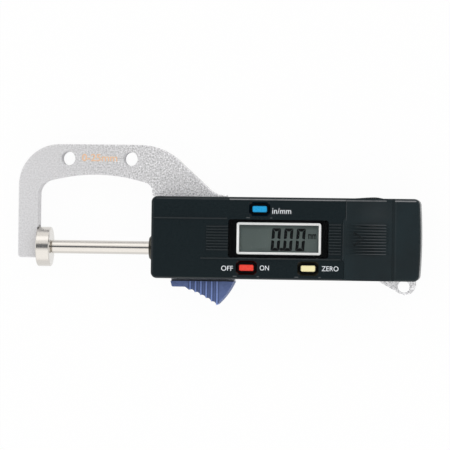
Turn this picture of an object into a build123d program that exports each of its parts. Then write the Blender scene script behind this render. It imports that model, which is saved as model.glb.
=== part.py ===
from build123d import *
import os

os.makedirs("parts", exist_ok=True)

# All sizes are in millimetres.
# +X is the way the spindle retracts, +Y is up on the dial side, +Z comes out of the display.
# The origin is the centre of the housing's flat back face, on which the gauge lies.
# The housing's length, height and depth are worked out from what it holds.

# Clearances
fixed_gap = 0.03
running_gap = 0.05
slide_gap = 0.15
seat_gap = 0.1
free_gap = 0.3

# Housing
corner_radius = 2.0
least_radius = 0.4
end_bulge = 0.4
wall = 1.5
back_wall = 1.6
front_wall = 2.0
plate_thickness = 2.4
front_edge_radius = 0.6
back_edge_radius = 1.0

# Frame casting: widths and rises, with reaches from the housing's left end or top
frame_thickness = 6.0
leg_width = 6.85
leg_below_axis = 3.7
leg_corner_radius = 1.2
arch_rise = 16.9
arch_corner_radius = 13.8
slope_top_reach = 2.6
slope_foot_reach = 20.7
slope_top_radius = 19.0
slope_foot_radius = 8.0
foot_end_reach = 24.3
foot_height = 0.5
throat_corner_rise = 4.2
throat_apex_reach = 19.8
throat_apex_rise = 8.25
throat_end_gap = 0.6
throat_end_rise = 3.8
throat_left_radius = 5.0
throat_apex_radius = 56.0
throat_right_radius = 3.2
casting_edge_radius = 0.45
shoulder_inset = 2.0
shoulder_length = 18.6
arch_hole_radius = 2.35
arch_hole_spacing = 21.0
arch_hole_reach = 27.15
arch_hole_drop = 4.75
lug_thickness = 3.5
lug_length = 9.1
lug_end_gap = 5.3
lug_drop = 0.95
lug_radius = 3.6
lug_ear_angle = -118
lug_hole_shift_x = -0.5
lug_hole_shift_y = -0.9
lug_hole_radius = 2.0

# Measuring line
travel = 25.0
tip_margin = 8.1
spindle_radius = 2.25
spindle_chamfer = 0.35
spindle_end_room = 2.6
anvil_thickness = 4.6
anvil_proud = 4.1
anvil_radius = 6.6
anvil_chamfer = 0.3
anvil_stem_radius = 2.5
anvil_stem_end_wall = 1.0
spot_face_margin = 0.6
bush_radius = 3.9
bush_reach = 1.5
rear_bush_radius = 3.4
front_post_width = 4.25
rear_post_width = 4.6
post_foot = 0.7

# Guide rod and return spring
rod_radius = 1.0
rod_rise = 7.8
rod_end_inset = 0.1
spring_wire = 0.4
spring_radius = 1.9
spring_pocket_depth = 14.0
spring_room = 4.8

# Carriage and thumb trigger
carriage_length = 21.05
carriage_floor_gap = 0.4
carriage_over_rod = 3.5
carriage_head_gap = 0.4
carriage_proud = 0.2
carriage_corner_radius = 0.8
neck_width = 4.4
trigger_drop = 0.9
tongue_inset_left = 8.1
tongue_inset_right = 2.2
tongue_depth = 3.1
tongue_width = 4.0
trigger_width = 10.0
trigger_heel_inset = 4.9
trigger_heel_depth = 1.9
trigger_tip_inset = 5.65
trigger_depth = 7.85
trigger_heel_radius = 0.5
ramp_hollow = 0.3
tooth_count = 5
tooth_lead = 1.35
tooth_fall = 1.0
scallop_depth = 0.5
flute_depth = 0.4
flank_bow = 0.5
strip_thickness = 0.3
strip_margin = 1.2
strip_width = 8.0
set_screw_radius = 1.0
set_screw_length = 4.0
set_screw_inset = 5.1

# Screws
cover_screw_radius = 1.0
cover_screw_head_radius = 1.8
cover_screw_head_height = 0.9
cover_screw_grip = 5.0
cover_boss_radius = 1.7
cover_screw_edge = 3.3
shoulder_screw_reach = 11.6
shoulder_screw_rise = 2.3
shoulder_screw_edge = 3.3
left_screw_reach = 3.7
lower_screw_reach = 6.65
lower_screw_edge = 3.7
right_screw_reach = 4.3
right_screw_edge = 5.0
board_screw_radius = 0.8
board_screw_head_radius = 1.3
board_screw_head_height = 0.5
board_screw_length = 2.4
board_boss_radius = 1.5
board_screw_edge = 3.55
board_screw_reach_left = 18.25
board_screw_reach_right = 12.75
board_screw_end = 2.6
trigger_screw_radius = 0.8
trigger_screw_head_radius = 1.5
trigger_screw_head_height = 1.0
trigger_screw_length = 6.0
trigger_screw_inset = 2.4
trigger_screw_depth = 1.6

# Display
view_length = 26.4
view_height = 9.0
rim_width = 0.75
rim_radius = 0.7
rim_drop = 0.1
window_end_margin = 2.55
window_side_margin = 0.95
window_thickness = 1.2
window_radius = 0.8
window_y = -0.1
window_seam_gap = 4.7
display_shift_x = 0.1
display_shift_y = 0.05
glass_margin = 1.2
glass_thickness = 1.1
lcd_frame_wall = 1.0
lcd_lip = 0.7
strip_rubber_width = 1.2
strip_rubber_height = 1.0

# Circuit board
board_thickness = 0.9
board_room = 0.4
board_left_inset = 8.6
board_edge_gap = 0.3
board_radius = 1.0
chip_size = 6.0
chip_height = 0.7
switch_length = 4.0
switch_width = 3.0
switch_height = 0.5
plunger_radius = 0.8
plunger_height = 0.15

# Buttons
button_length = 4.75
button_height = 2.0
button_radius = 0.5
button_top_drop = 0.1
button_travel = 0.5
button_edge_chamfer = 0.2
button_flange_margin = 0.6
button_flange_thickness = 0.5
button_stem_radius = 0.9
crater_length = 7.0
crater_height = 4.7
crater_corner_radius = 1.0
crater_floor_length = 6.2
crater_floor_height = 3.5
crater_floor_radius = 1.55
crater_depth = 0.8
upper_crater_gap = 1.2
lower_crater_gap = 1.1
unit_button_shift = -6.35
power_button_shift = -10.55
zero_button_shift = 9.85

# Raised lines on the front face
rib_rise = 0.3
rib_base = 0.62
rib_crest = 0.26
rib_pitch = 0.96
rib_shift_y = 0.05
left_rib_count = 9
left_rib_length = 7.2
left_rib_gap = 0.15
right_rib_count = 11
right_rib_gap = 0.25
right_rib_end_gap = 0.45
upper_ridge_gap = 0.34
upper_ridge_inset = 0.7
upper_ridge_end_gap = 0.55
lower_ridge_gap = 0.42
lower_ridge_lead = 1.8
lower_ridge_end_gap = 0.55

# Battery, its well and its sliding cover
battery_radius = 5.8
battery_height = 5.4
battery_step = 0.6
battery_edge_chamfer = 0.4
battery_reach = 8.65
battery_margin = 0.35
well_wall = 0.6
well_floor = 0.8
contact_thickness = 0.25
contact_width = 3.0
cover_wall = 1.2
upstand_wall = 1.2
skirt_depth = 5.6
seam_gap = 0.35
seam_top_jog = 1.05
seam_bottom_jog = 0.65
seam_jog_y = 6.1
seam_jog_rise = 1.1
bead_rise = 1.3
bead_height = 0.8
bead_depth = 0.35
dip_reach = 7.5
dip_length = 15.2
dip_depth = 0.45
cover_rib_count = 11
cover_rib_gap = 0.2
cover_rib_length = 13.8
cover_rib_middle_y = 0.07
chevron_reach = 2.6
chevron_y = 0.2
chevron_length = 3.2
chevron_height = 4.4
chevron_stroke = 0.55
chevron_depth = 0.25
groove_gap = 0.5
groove_width = 0.8
groove_depth = 0.3

# Data port in the top wall, with its sliding cover
port_end_gap = 11.6
port_cover_length = 13.0
port_cover_width = 3.8
port_undercut = 0.35
port_cover_thickness = 0.9
port_travel = 10.0
port_grip_rise = 0.45
port_grip_peak = 9.1
port_opening_length = 7.0
port_opening_width = 2.6
port_opening_inset = 1.5
connector_depth = 3.2

# Levels, from the back face up
parting_z = back_wall + plate_thickness
spindle_z = parting_z + frame_thickness / 2
frame_front_z = parting_z + frame_thickness
carriage_bottom_z = parting_z + free_gap
carriage_top_z = frame_front_z + carriage_proud
board_bottom_z = carriage_top_z + strip_thickness + board_room
board_top_z = board_bottom_z + board_thickness
post_top_z = board_bottom_z - free_gap
glass_bottom_z = board_top_z + strip_rubber_height
ceiling_z = glass_bottom_z + glass_thickness + lcd_lip
body_depth = ceiling_z + front_wall
window_floor_z = body_depth - window_thickness
skirt_z = body_depth - skirt_depth
bead_z = skirt_z + bead_rise
deck_z = body_depth - cover_wall - seat_gap
well_floor_z = deck_z - seat_gap - battery_height - contact_thickness
cover_screw_end_z = parting_z + cover_screw_grip
button_top_z = body_depth - button_top_drop
button_stem_z = board_top_z + switch_height + plunger_height + button_travel + running_gap

# Heights, from the housing's lower side up: the lower left screw, the spindle, the rod,
# the carriage and the screw in the shoulder stand over each other
spindle_rise = cover_screw_edge + cover_boss_radius + free_gap + post_foot + bush_radius
carriage_top_rise = spindle_rise + rod_rise + carriage_over_rod
shoulder_screw_height = carriage_top_rise + carriage_head_gap + shoulder_screw_rise
body_height = shoulder_screw_height + shoulder_screw_edge
half_height = body_height / 2
spindle_y = spindle_rise - half_height
rod_y = spindle_y + rod_rise
carriage_bottom_y = wall + carriage_floor_gap - half_height
carriage_top_y = carriage_top_rise - half_height
shoulder_bottom_y = carriage_top_y + carriage_head_gap
shoulder_y = half_height + seat_gap
post_bottom_y = spindle_y - bush_radius - post_foot
leg_bottom_y = spindle_y - leg_below_axis
arch_top_y = shoulder_y + arch_rise
arch_hole_y = arch_top_y - arch_hole_drop
throat_corner_y = shoulder_y + throat_corner_rise
throat_apex_y = shoulder_y + throat_apex_rise
throat_end_y = shoulder_y + throat_end_rise
trigger_top_y = -half_height - trigger_drop
tongue_bottom_y = trigger_top_y - tongue_depth
trigger_heel_y = trigger_top_y - trigger_heel_depth
trigger_tip_y = trigger_top_y - trigger_depth
trigger_screw_y = trigger_top_y - trigger_screw_depth
lug_middle_y = -half_height - lug_drop
upstand_inset = cover_wall + slide_gap
well_radius = battery_radius + seat_gap + well_wall
battery_y = half_height - upstand_inset - battery_margin - well_radius
rim_height = view_height + 2 * rim_width
window_height = rim_height + 2 * window_side_margin
window_top_y = window_y + window_height / 2
window_bottom_y = window_y - window_height / 2
display_y = window_y + display_shift_y
upper_button_y = window_top_y + upper_crater_gap + crater_height / 2
lower_button_y = window_bottom_y - lower_crater_gap - crater_height / 2
rib_middle_y = window_y + rib_shift_y
upper_ridge_y = window_top_y + upper_ridge_gap
lower_ridge_y = window_bottom_y - lower_ridge_gap

# Lengths, from the housing's left end to its right: post, carriage and its travel,
# closed spring, post, and the room that the spindle's end retracts into
front_post_inset = wall + seat_gap
carriage_room = free_gap + carriage_length + travel + spring_room
rear_post_inset = front_post_inset + front_post_width + carriage_room
body_length = rear_post_inset + rear_post_width + travel + spindle_end_room
half_length = body_length / 2
end_x = half_length - end_bulge
front_post_x = front_post_inset - half_length
front_post_end_x = front_post_x + front_post_width
carriage_left_x = front_post_end_x + free_gap
carriage_right_x = carriage_left_x + carriage_length
rear_post_x = carriage_right_x + travel + spring_room
rear_post_end_x = rear_post_x + rear_post_width
spindle_end_x = rear_post_end_x
rod_left_x = front_post_x + rod_end_inset
rod_right_x = rear_post_end_x - rod_end_inset
spring_pocket_x = carriage_right_x - spring_pocket_depth
tongue_left_x = carriage_left_x + tongue_inset_left
tongue_right_x = carriage_right_x - tongue_inset_right
trigger_heel_x = carriage_left_x + trigger_heel_inset
trigger_tip_x = carriage_right_x - trigger_tip_inset
set_screw_x = carriage_left_x + set_screw_inset
bush_front_x = -half_length - bush_reach
anvil_face_x = bush_front_x - tip_margin - travel
spot_face_x = anvil_face_x - anvil_thickness
leg_inner_x = anvil_face_x - anvil_proud
leg_outer_x = leg_inner_x - leg_width
anvil_stem_length = spot_face_x - leg_outer_x - anvil_stem_end_wall - seat_gap
throat_apex_x = leg_inner_x + throat_apex_reach
throat_end_x = -half_length - throat_end_gap
arch_hole_middle_x = leg_outer_x + arch_hole_reach
slope_top_x = slope_top_reach - half_length
slope_foot_x = slope_foot_reach - half_length
foot_end_x = foot_end_reach - half_length
shoulder_left_x = shoulder_inset - half_length
shoulder_right_x = shoulder_left_x + shoulder_length
lug_middle_x = half_length - lug_end_gap
lug_left_x = lug_middle_x - lug_length
seam_middle_x = rear_post_end_x + wall + seam_gap
seam_top_x = seam_middle_x + seam_top_jog
seam_bottom_x = seam_middle_x + seam_bottom_jog
board_left_x = board_left_inset - half_length
board_right_x = seam_middle_x - wall - running_gap
rim_length = view_length + 2 * rim_width
window_length = rim_length + 2 * window_end_margin
window_right_x = seam_middle_x - window_seam_gap
window_left_x = window_right_x - window_length
window_x = (window_left_x + window_right_x) / 2
display_x = window_x + display_shift_x
left_rib_x = window_left_x - left_rib_gap - left_rib_length
right_rib_x = window_right_x + right_rib_gap
right_rib_length = seam_middle_x - right_rib_end_gap - right_rib_x
upper_ridge_x = upper_ridge_inset - half_length
upper_ridge_length = window_left_x - upper_ridge_end_gap - upper_ridge_x
lower_ridge_x = left_rib_x - lower_ridge_lead
lower_ridge_length = seam_middle_x - lower_ridge_end_gap - lower_ridge_x
battery_x = seam_middle_x + battery_reach
dip_middle_x = seam_top_x + dip_reach
cover_rib_x = seam_top_x + cover_rib_gap
chevron_x = seam_top_x + chevron_reach
groove_x = dip_middle_x + dip_length / 2 + groove_gap
port_cover_x = half_length - port_end_gap - port_cover_length
port_opening_x = port_cover_x + port_cover_length - port_opening_inset - port_opening_length / 2

# Places of screws and buttons
lug_hole_place = (lug_middle_x + lug_hole_shift_x, lug_middle_y + lug_hole_shift_y)
cover_screw_places = [
    (shoulder_screw_reach - half_length, shoulder_bottom_y + shoulder_screw_rise),
    (left_screw_reach - half_length, cover_screw_edge - half_height),
    (seam_middle_x + lower_screw_reach, lower_screw_edge - half_height),
    (half_length - right_screw_reach, half_height - right_screw_edge),
]
board_screw_places = [
    (display_x - board_screw_reach_left, half_height - board_screw_edge),
    (display_x + board_screw_reach_right, half_height - board_screw_edge),
    (board_right_x - board_screw_end, board_screw_edge - half_height),
]
trigger_screw_places = [
    (tongue_left_x + trigger_screw_inset, trigger_screw_y),
    (tongue_right_x - trigger_screw_inset, trigger_screw_y),
]
button_places = {
    "unit": (display_x + unit_button_shift, upper_button_y),
    "power": (display_x + power_button_shift, lower_button_y),
    "zero": (display_x + zero_button_shift, lower_button_y),
}

# Planes across the measuring line
spindle_axis = Plane(origin=(0, spindle_y, spindle_z), x_dir=(0, 1, 0), z_dir=(1, 0, 0))
rod_axis = Plane(origin=(0, rod_y, spindle_z), x_dir=(0, 1, 0), z_dir=(1, 0, 0))


def housing_outline(inset=0.0):
    """The housing's outline, set in by a wall or a gap."""
    with BuildSketch(Plane.XY) as outline:
        with Locations((-end_bulge / 2, 0)):
            RectangleRounded(
                body_length - end_bulge - 2 * inset,
                body_height - 2 * inset,
                max(corner_radius - inset, least_radius),
            )
        with BuildLine():
            bulge = ThreePointArc(
                (end_x - inset, corner_radius + inset - half_height),
                (half_length - inset, 0),
                (end_x - inset, half_height - corner_radius - inset),
            )
            Line(bulge @ 1, bulge @ 0)
        make_face()
    return outline.sketch_local


def cover_side(gap=0.0):
    """The ground on the battery cover's side of its jogged seam."""
    with BuildSketch(Plane.XY) as ground:
        Polygon(
            (seam_top_x + gap, body_height),
            (seam_top_x + gap, seam_jog_y + seam_jog_rise),
            (seam_middle_x + gap, seam_jog_y),
            (seam_middle_x + gap, -seam_jog_y - seam_jog_rise / 2),
            (seam_bottom_x + gap, -seam_jog_y - seam_jog_rise),
            (seam_bottom_x + gap, -body_height),
            (body_length, -body_height),
            (body_length, body_height),
            align=None,
        )
    return ground.sketch_local


def keep_side(seam, right_side):
    """Keep what lies on one side of a straight seam across the housing."""
    middle = seam + body_length / 2 if right_side else seam - body_length / 2
    with Locations((middle, 0)):
        Rectangle(body_length, 2 * body_height, mode=Mode.INTERSECT)


def rib_profiles(count, middle_y, base_z):
    """Draw the sections of a bank of ribs, on a plane across X."""
    for index in range(count):
        ridge_profile(middle_y + (index - (count - 1) / 2) * rib_pitch, base_z)


def ridge_profile(y, base_z):
    """Draw one rib's section, sunk a little into the face that carries it."""
    Polygon(
        (y - rib_base / 2, base_z - rib_rise),
        (y + rib_base / 2, base_z - rib_rise),
        (y + rib_base / 2, base_z),
        (y + rib_crest / 2, base_z + rib_rise),
        (y - rib_crest / 2, base_z + rib_rise),
        (y - rib_base / 2, base_z),
        align=None,
    )


def port_section(gap=0.0):
    """The undercut section of the port cover, or of its channel with a gap."""
    half_mouth = port_cover_width / 2 + gap
    foot_y = half_height - port_cover_thickness - gap
    with BuildSketch(Plane.XY) as section:
        Polygon(
            (half_height, spindle_z - half_mouth),
            (half_height, spindle_z + half_mouth),
            (foot_y, spindle_z + half_mouth + port_undercut),
            (foot_y, spindle_z - half_mouth - port_undercut),
            align=None,
        )
    return section.sketch_local


def across_x(x):
    """A plane across X, with its own axes along Y and Z."""
    return Plane(origin=(x, 0, 0), x_dir=(0, 1, 0), z_dir=(1, 0, 0))


# Frame: arch and leg, shoulder, backbone plate, posts and lug, cast in one piece
with BuildPart() as frame:
    with BuildSketch(Plane.XY.offset(parting_z)):
        with BuildLine():
            outer = FilletPolyline(
                (leg_outer_x, leg_bottom_y),
                (leg_outer_x, arch_top_y),
                (slope_top_x, arch_top_y),
                (slope_foot_x, shoulder_y + foot_height),
                (foot_end_x, shoulder_y + foot_height),
                radius=[arch_corner_radius, slope_top_radius, slope_foot_radius],
            )
            step = Polyline(
                outer @ 1,
                (foot_end_x, shoulder_y),
                (shoulder_right_x, shoulder_y),
                (shoulder_right_x, shoulder_bottom_y),
                (shoulder_left_x, shoulder_bottom_y),
                (shoulder_left_x, shoulder_y),
                (throat_end_x, shoulder_y),
            )
            throat = FilletPolyline(
                step @ 1,
                (throat_end_x, throat_end_y),
                (throat_apex_x, throat_apex_y),
                (leg_inner_x, throat_corner_y),
                (leg_inner_x, leg_bottom_y),
                radius=[throat_right_radius, throat_apex_radius, throat_left_radius],
            )
            Line(throat @ 1, outer @ 0)
        make_face()
    extrude(amount=frame_thickness)
    leg_ends = frame.edges().filter_by(Axis.Z).group_by(Axis.Y)[0]
    fillet(leg_ends, leg_corner_radius)
    face_edges = frame.edges().filter_by(Plane.XY)
    fillet(
        face_edges.filter_by(
            lambda edge: edge.center().X < throat_end_x + fixed_gap
            or edge.center().Y > shoulder_y + foot_height - fixed_gap
        ),
        casting_edge_radius,
    )

    # Backbone plate in the rear cover
    with BuildSketch(Plane.XY.offset(back_wall)):
        add(housing_outline(wall + slide_gap))
    extrude(amount=parting_z - back_wall)

    # Posts for the two bushes and the guide rod
    with BuildSketch(Plane.XY.offset(parting_z)):
        with Locations((front_post_x, post_bottom_y)):
            Rectangle(
                front_post_width,
                shoulder_bottom_y - post_bottom_y + casting_edge_radius,
                align=(Align.MIN, Align.MIN),
            )
        with Locations((rear_post_x, post_bottom_y)):
            Rectangle(
                rear_post_width,
                carriage_top_y - post_bottom_y,
                align=(Align.MIN, Align.MIN),
            )
    extrude(amount=post_top_z - parting_z)

    # Lug at the lower right, for a cord or a hook
    with BuildSketch(Plane.XY.offset(parting_z)):
        with BuildLine():
            rim = ThreePointArc(
                (lug_middle_x + lug_radius, lug_middle_y),
                (lug_middle_x, lug_middle_y - lug_radius),
                (lug_middle_x - lug_radius, lug_middle_y),
            )
            Line(rim @ 1, rim @ 0)
        make_face()
        with BuildLine():
            ear = PolarLine(
                (lug_middle_x, lug_middle_y),
                lug_radius,
                angle=lug_ear_angle,
            )
            Polyline(
                ear @ 1,
                (lug_left_x, -half_height),
                (lug_left_x, -half_height + 2 * wall),
                (lug_middle_x + lug_radius, -half_height + 2 * wall),
                (lug_middle_x + lug_radius, lug_middle_y),
                (lug_middle_x, lug_middle_y),
            )
        make_face()
        with Locations(lug_hole_place):
            Circle(lug_hole_radius, mode=Mode.SUBTRACT)
    extrude(amount=lug_thickness)

    # Spot face and blind bore for the anvil
    with BuildSketch(spindle_axis.offset(spot_face_x)):
        Circle(anvil_radius + spot_face_margin)
    extrude(amount=leg_inner_x - spot_face_x + wall, mode=Mode.SUBTRACT)
    with BuildSketch(spindle_axis.offset(spot_face_x)):
        Circle(anvil_stem_radius + fixed_gap)
    extrude(amount=-anvil_stem_length - seat_gap, mode=Mode.SUBTRACT)

    # Bores for the bushes and the guide rod
    with BuildSketch(spindle_axis.offset(front_post_x)):
        Circle(bush_radius + fixed_gap)
    extrude(amount=front_post_width, mode=Mode.SUBTRACT)
    with BuildSketch(spindle_axis.offset(rear_post_x)):
        Circle(rear_bush_radius + fixed_gap)
    extrude(amount=rear_post_width, mode=Mode.SUBTRACT)
    with BuildSketch(rod_axis.offset(front_post_x)):
        Circle(rod_radius + fixed_gap)
    extrude(amount=rear_post_end_x - front_post_x, mode=Mode.SUBTRACT)

    # Holes through the arch, and clearance holes for the cover screws
    with Locations((arch_hole_middle_x, arch_hole_y, frame_front_z)):
        with GridLocations(arch_hole_spacing, 0, 2, 1):
            Hole(arch_hole_radius, depth=frame_thickness)
    with BuildSketch(Plane.XY.offset(back_wall)):
        with Locations(*cover_screw_places):
            Circle(cover_screw_radius + seat_gap)
    extrude(amount=frame_thickness + parting_z, mode=Mode.SUBTRACT)
frame.part.label = "frame"
export_step(frame.part, "parts/frame.step")

# Anvil: a turned disc with a stem pressed into the leg
with BuildPart() as anvil:
    with BuildSketch(spindle_axis.offset(spot_face_x)):
        Circle(anvil_radius)
    extrude(amount=anvil_thickness)
    chamfer(anvil.edges(), anvil_chamfer)
    with BuildSketch(spindle_axis.offset(spot_face_x)):
        Circle(anvil_stem_radius)
    extrude(amount=-anvil_stem_length)
anvil.part.label = "anvil"
export_step(anvil.part, "parts/anvil.step")

# Spindle: one ground rod from the anvil to the rear bush
with BuildPart() as spindle:
    with BuildSketch(spindle_axis.offset(anvil_face_x)):
        Circle(spindle_radius)
    extrude(amount=spindle_end_x - anvil_face_x)
    chamfer(spindle.edges().filter_by(GeomType.CIRCLE), spindle_chamfer)
spindle.part.label = "spindle"
export_step(spindle.part, "parts/spindle.step")

# Front bush, which stands out of the housing's left-hand wall
with BuildPart() as front_bush:
    with BuildSketch(spindle_axis.offset(bush_front_x)):
        Circle(bush_radius)
    extrude(amount=front_post_end_x - bush_front_x)
    chamfer(front_bush.edges().group_by(Axis.X)[0], spindle_chamfer)
    with BuildSketch(spindle_axis.offset(bush_front_x)):
        Circle(spindle_radius + running_gap)
    extrude(amount=front_post_end_x - bush_front_x, mode=Mode.SUBTRACT)
front_bush.part.label = "front_bush"
export_step(front_bush.part, "parts/front_bush.step")

# Rear bush, flush with its post
with BuildPart() as rear_bush:
    with BuildSketch(spindle_axis.offset(rear_post_x)):
        Circle(rear_bush_radius)
    extrude(amount=rear_post_width)
    chamfer(rear_bush.edges(), anvil_chamfer)
    with BuildSketch(spindle_axis.offset(rear_post_x)):
        Circle(spindle_radius + running_gap)
    extrude(amount=rear_post_width, mode=Mode.SUBTRACT)
rear_bush.part.label = "rear_bush"
export_step(rear_bush.part, "parts/rear_bush.step")

# Guide rod, which keeps the carriage from turning
with BuildPart() as guide_rod:
    with BuildSketch(rod_axis.offset(rod_left_x)):
        Circle(rod_radius)
    extrude(amount=rod_right_x - rod_left_x)
guide_rod.part.label = "guide_rod"
export_step(guide_rod.part, "parts/guide_rod.step")

# Return spring, as the sleeve that its coils fill
with BuildPart() as return_spring:
    with BuildSketch(rod_axis.offset(spring_pocket_x)):
        Circle(spring_radius)
        Circle(spring_radius - spring_wire, mode=Mode.SUBTRACT)
    extrude(amount=rear_post_x - spring_pocket_x)
return_spring.part.label = "return_spring"
export_step(return_spring.part, "parts/return_spring.step")

# Carriage: block on the spindle, neck through the slot, tongue in the trigger
with BuildPart() as carriage:
    with BuildSketch(Plane.XY.offset(carriage_bottom_z)):
        with Locations((carriage_left_x, carriage_bottom_y)):
            Rectangle(
                carriage_length,
                carriage_top_y - carriage_bottom_y,
                align=(Align.MIN, Align.MIN),
            )
    extrude(amount=carriage_top_z - carriage_bottom_z)
    fillet(carriage.edges().filter_by(Axis.Z), carriage_corner_radius)
    with BuildSketch(Plane.XY.offset(spindle_z)):
        with Locations((carriage_left_x, trigger_top_y)):
            Rectangle(
                carriage_length,
                carriage_bottom_y - trigger_top_y + carriage_corner_radius,
                align=(Align.MIN, Align.MIN),
            )
    extrude(amount=neck_width / 2, both=True)
    with BuildSketch(Plane.XY.offset(spindle_z)):
        with Locations((tongue_left_x, tongue_bottom_y)):
            Rectangle(
                tongue_right_x - tongue_left_x,
                trigger_top_y - tongue_bottom_y,
                align=(Align.MIN, Align.MIN),
            )
        with Locations(*trigger_screw_places):
            Circle(trigger_screw_radius + fixed_gap, mode=Mode.SUBTRACT)
    extrude(amount=tongue_width / 2, both=True)
    with BuildSketch(spindle_axis.offset(carriage_left_x)):
        Circle(spindle_radius + fixed_gap)
    extrude(amount=carriage_length, mode=Mode.SUBTRACT)
    with BuildSketch(rod_axis.offset(carriage_left_x)):
        Circle(rod_radius + running_gap)
    extrude(amount=carriage_length, mode=Mode.SUBTRACT)
    with BuildSketch(rod_axis.offset(spring_pocket_x)):
        Circle(spring_radius + free_gap)
    extrude(amount=spring_pocket_depth, mode=Mode.SUBTRACT)
    with BuildSketch(Plane.XZ.offset(-spindle_y)):
        with Locations((set_screw_x, spindle_z)):
            Circle(set_screw_radius + fixed_gap)
    extrude(amount=spindle_y - trigger_top_y, mode=Mode.SUBTRACT)
carriage.part.label = "carriage"
export_step(carriage.part, "parts/carriage.step")

# Set screw that pins the carriage to the spindle
with BuildPart() as spindle_set_screw:
    with BuildSketch(Plane.XZ.offset(-(spindle_y - spindle_radius - fixed_gap))):
        with Locations((set_screw_x, spindle_z)):
            Circle(set_screw_radius)
            RegularPolygon(set_screw_radius / 2, 6, mode=Mode.SUBTRACT)
    extrude(amount=set_screw_length)
    with BuildSketch(Plane.XZ.offset(-(spindle_y - spindle_radius - fixed_gap))):
        with Locations((set_screw_x, spindle_z)):
            Circle(set_screw_radius)
    extrude(amount=set_screw_length / 2)
spindle_set_screw.part.label = "spindle_set_screw"
export_step(spindle_set_screw.part, "parts/spindle_set_screw.step")

# Scale strip on the carriage, read by the pattern under the board
with BuildPart() as scale_strip:
    with BuildSketch(Plane.XY.offset(carriage_top_z)):
        with Locations(((carriage_left_x + carriage_right_x) / 2, 0)):
            Rectangle(carriage_length - 2 * strip_margin, strip_width)
    extrude(amount=strip_thickness)
scale_strip.part.label = "scale_strip"
export_step(scale_strip.part, "parts/scale_strip.step")

# Thumb trigger: toothed ramp, fluted on both faces
with BuildPart() as thumb_trigger:
    with BuildSketch(Plane.XY.offset(spindle_z)) as trigger_side:
        with BuildLine():
            ramp = SagittaArc(
                (trigger_heel_x + tooth_lead, trigger_heel_y - tooth_fall),
                (trigger_tip_x, trigger_tip_y),
                ramp_hollow,
                mode=Mode.PRIVATE,
            )
            tips = [ramp @ (index / tooth_count) for index in range(tooth_count + 1)]
            heel = FilletPolyline(
                (carriage_left_x, trigger_top_y),
                (carriage_left_x + trigger_heel_radius, trigger_heel_y),
                (trigger_heel_x, trigger_heel_y),
                radius=trigger_heel_radius,
            )
            Line(heel @ 1, tips[0])
            for left_tip, right_tip in zip(tips, tips[1:]):
                SagittaArc(left_tip, right_tip, scallop_depth)
            flank = SagittaArc(tips[-1], (carriage_right_x, trigger_top_y), -flank_bow)
            Line(flank @ 1, heel @ 0)
        make_face()
    extrude(amount=trigger_width / 2, both=True)
    flute_half = (tips[1].X - tips[0].X) / 2
    flute_radius = (flute_half**2 + flute_depth**2) / (2 * flute_depth)
    flute_reach = trigger_width / 2 + flute_radius - flute_depth
    with BuildSketch(Plane.XZ.offset(-trigger_top_y)):
        for left_tip in tips[:-1]:
            with Locations(
                (left_tip.X + flute_half, spindle_z + flute_reach),
                (left_tip.X + flute_half, spindle_z - flute_reach),
            ):
                Circle(flute_radius)
    extrude(amount=trigger_top_y - trigger_tip_y, mode=Mode.SUBTRACT)
    with BuildSketch(Plane.XY.offset(spindle_z)):
        with Locations((tongue_left_x - seat_gap, tongue_bottom_y - seat_gap)):
            Rectangle(
                tongue_right_x - tongue_left_x + 2 * seat_gap,
                trigger_top_y - tongue_bottom_y + seat_gap,
                align=(Align.MIN, Align.MIN),
            )
    extrude(amount=tongue_width / 2 + seat_gap, both=True, mode=Mode.SUBTRACT)
    with BuildSketch(Plane.XY.offset(spindle_z - trigger_width / 2)):
        with Locations(*trigger_screw_places):
            Circle(trigger_screw_radius + fixed_gap)
    extrude(amount=trigger_width / 2, mode=Mode.SUBTRACT)
    with BuildSketch(Plane.XY.offset(spindle_z - trigger_width / 2)):
        with Locations(*trigger_screw_places):
            Circle(trigger_screw_head_radius + seat_gap)
    extrude(amount=trigger_screw_head_height, mode=Mode.SUBTRACT)
thumb_trigger.part.label = "thumb_trigger"
export_step(thumb_trigger.part, "parts/thumb_trigger.step")

# Two screws that hold the trigger on the carriage's tongue
with BuildPart() as trigger_screws:
    with BuildSketch(Plane.XY.offset(spindle_z - trigger_width / 2)):
        with Locations(*trigger_screw_places):
            Circle(trigger_screw_head_radius)
    extrude(amount=trigger_screw_head_height)
    with BuildSketch(Plane.XY.offset(spindle_z - trigger_width / 2 + trigger_screw_head_height)):
        with Locations(*trigger_screw_places):
            Circle(trigger_screw_radius)
    extrude(amount=trigger_screw_length)
trigger_screws.part.label = "trigger_screws"
export_step(trigger_screws.part, "parts/trigger_screws.step")

# Rear cover: a shallow tray
with BuildPart() as rear_cover:
    with BuildSketch():
        add(housing_outline())
    extrude(amount=parting_z)
    fillet(rear_cover.faces().sort_by(Axis.Z)[0].edges(), back_edge_radius)
    with BuildSketch(Plane.XY.offset(back_wall)):
        add(housing_outline(wall))
    extrude(amount=parting_z - back_wall, mode=Mode.SUBTRACT)
    with BuildSketch(spindle_axis.offset(-half_length)):
        Circle(bush_radius + seat_gap)
    extrude(amount=wall, mode=Mode.SUBTRACT)
    with BuildSketch():
        with Locations(*cover_screw_places):
            Circle(cover_screw_head_radius + seat_gap)
    extrude(amount=cover_screw_head_height + seat_gap, mode=Mode.SUBTRACT)
    with BuildSketch():
        with Locations(*cover_screw_places):
            Circle(cover_screw_radius + seat_gap)
    extrude(amount=back_wall, mode=Mode.SUBTRACT)
rear_cover.part.label = "rear_cover"
export_step(rear_cover.part, "parts/rear_cover.step")

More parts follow.
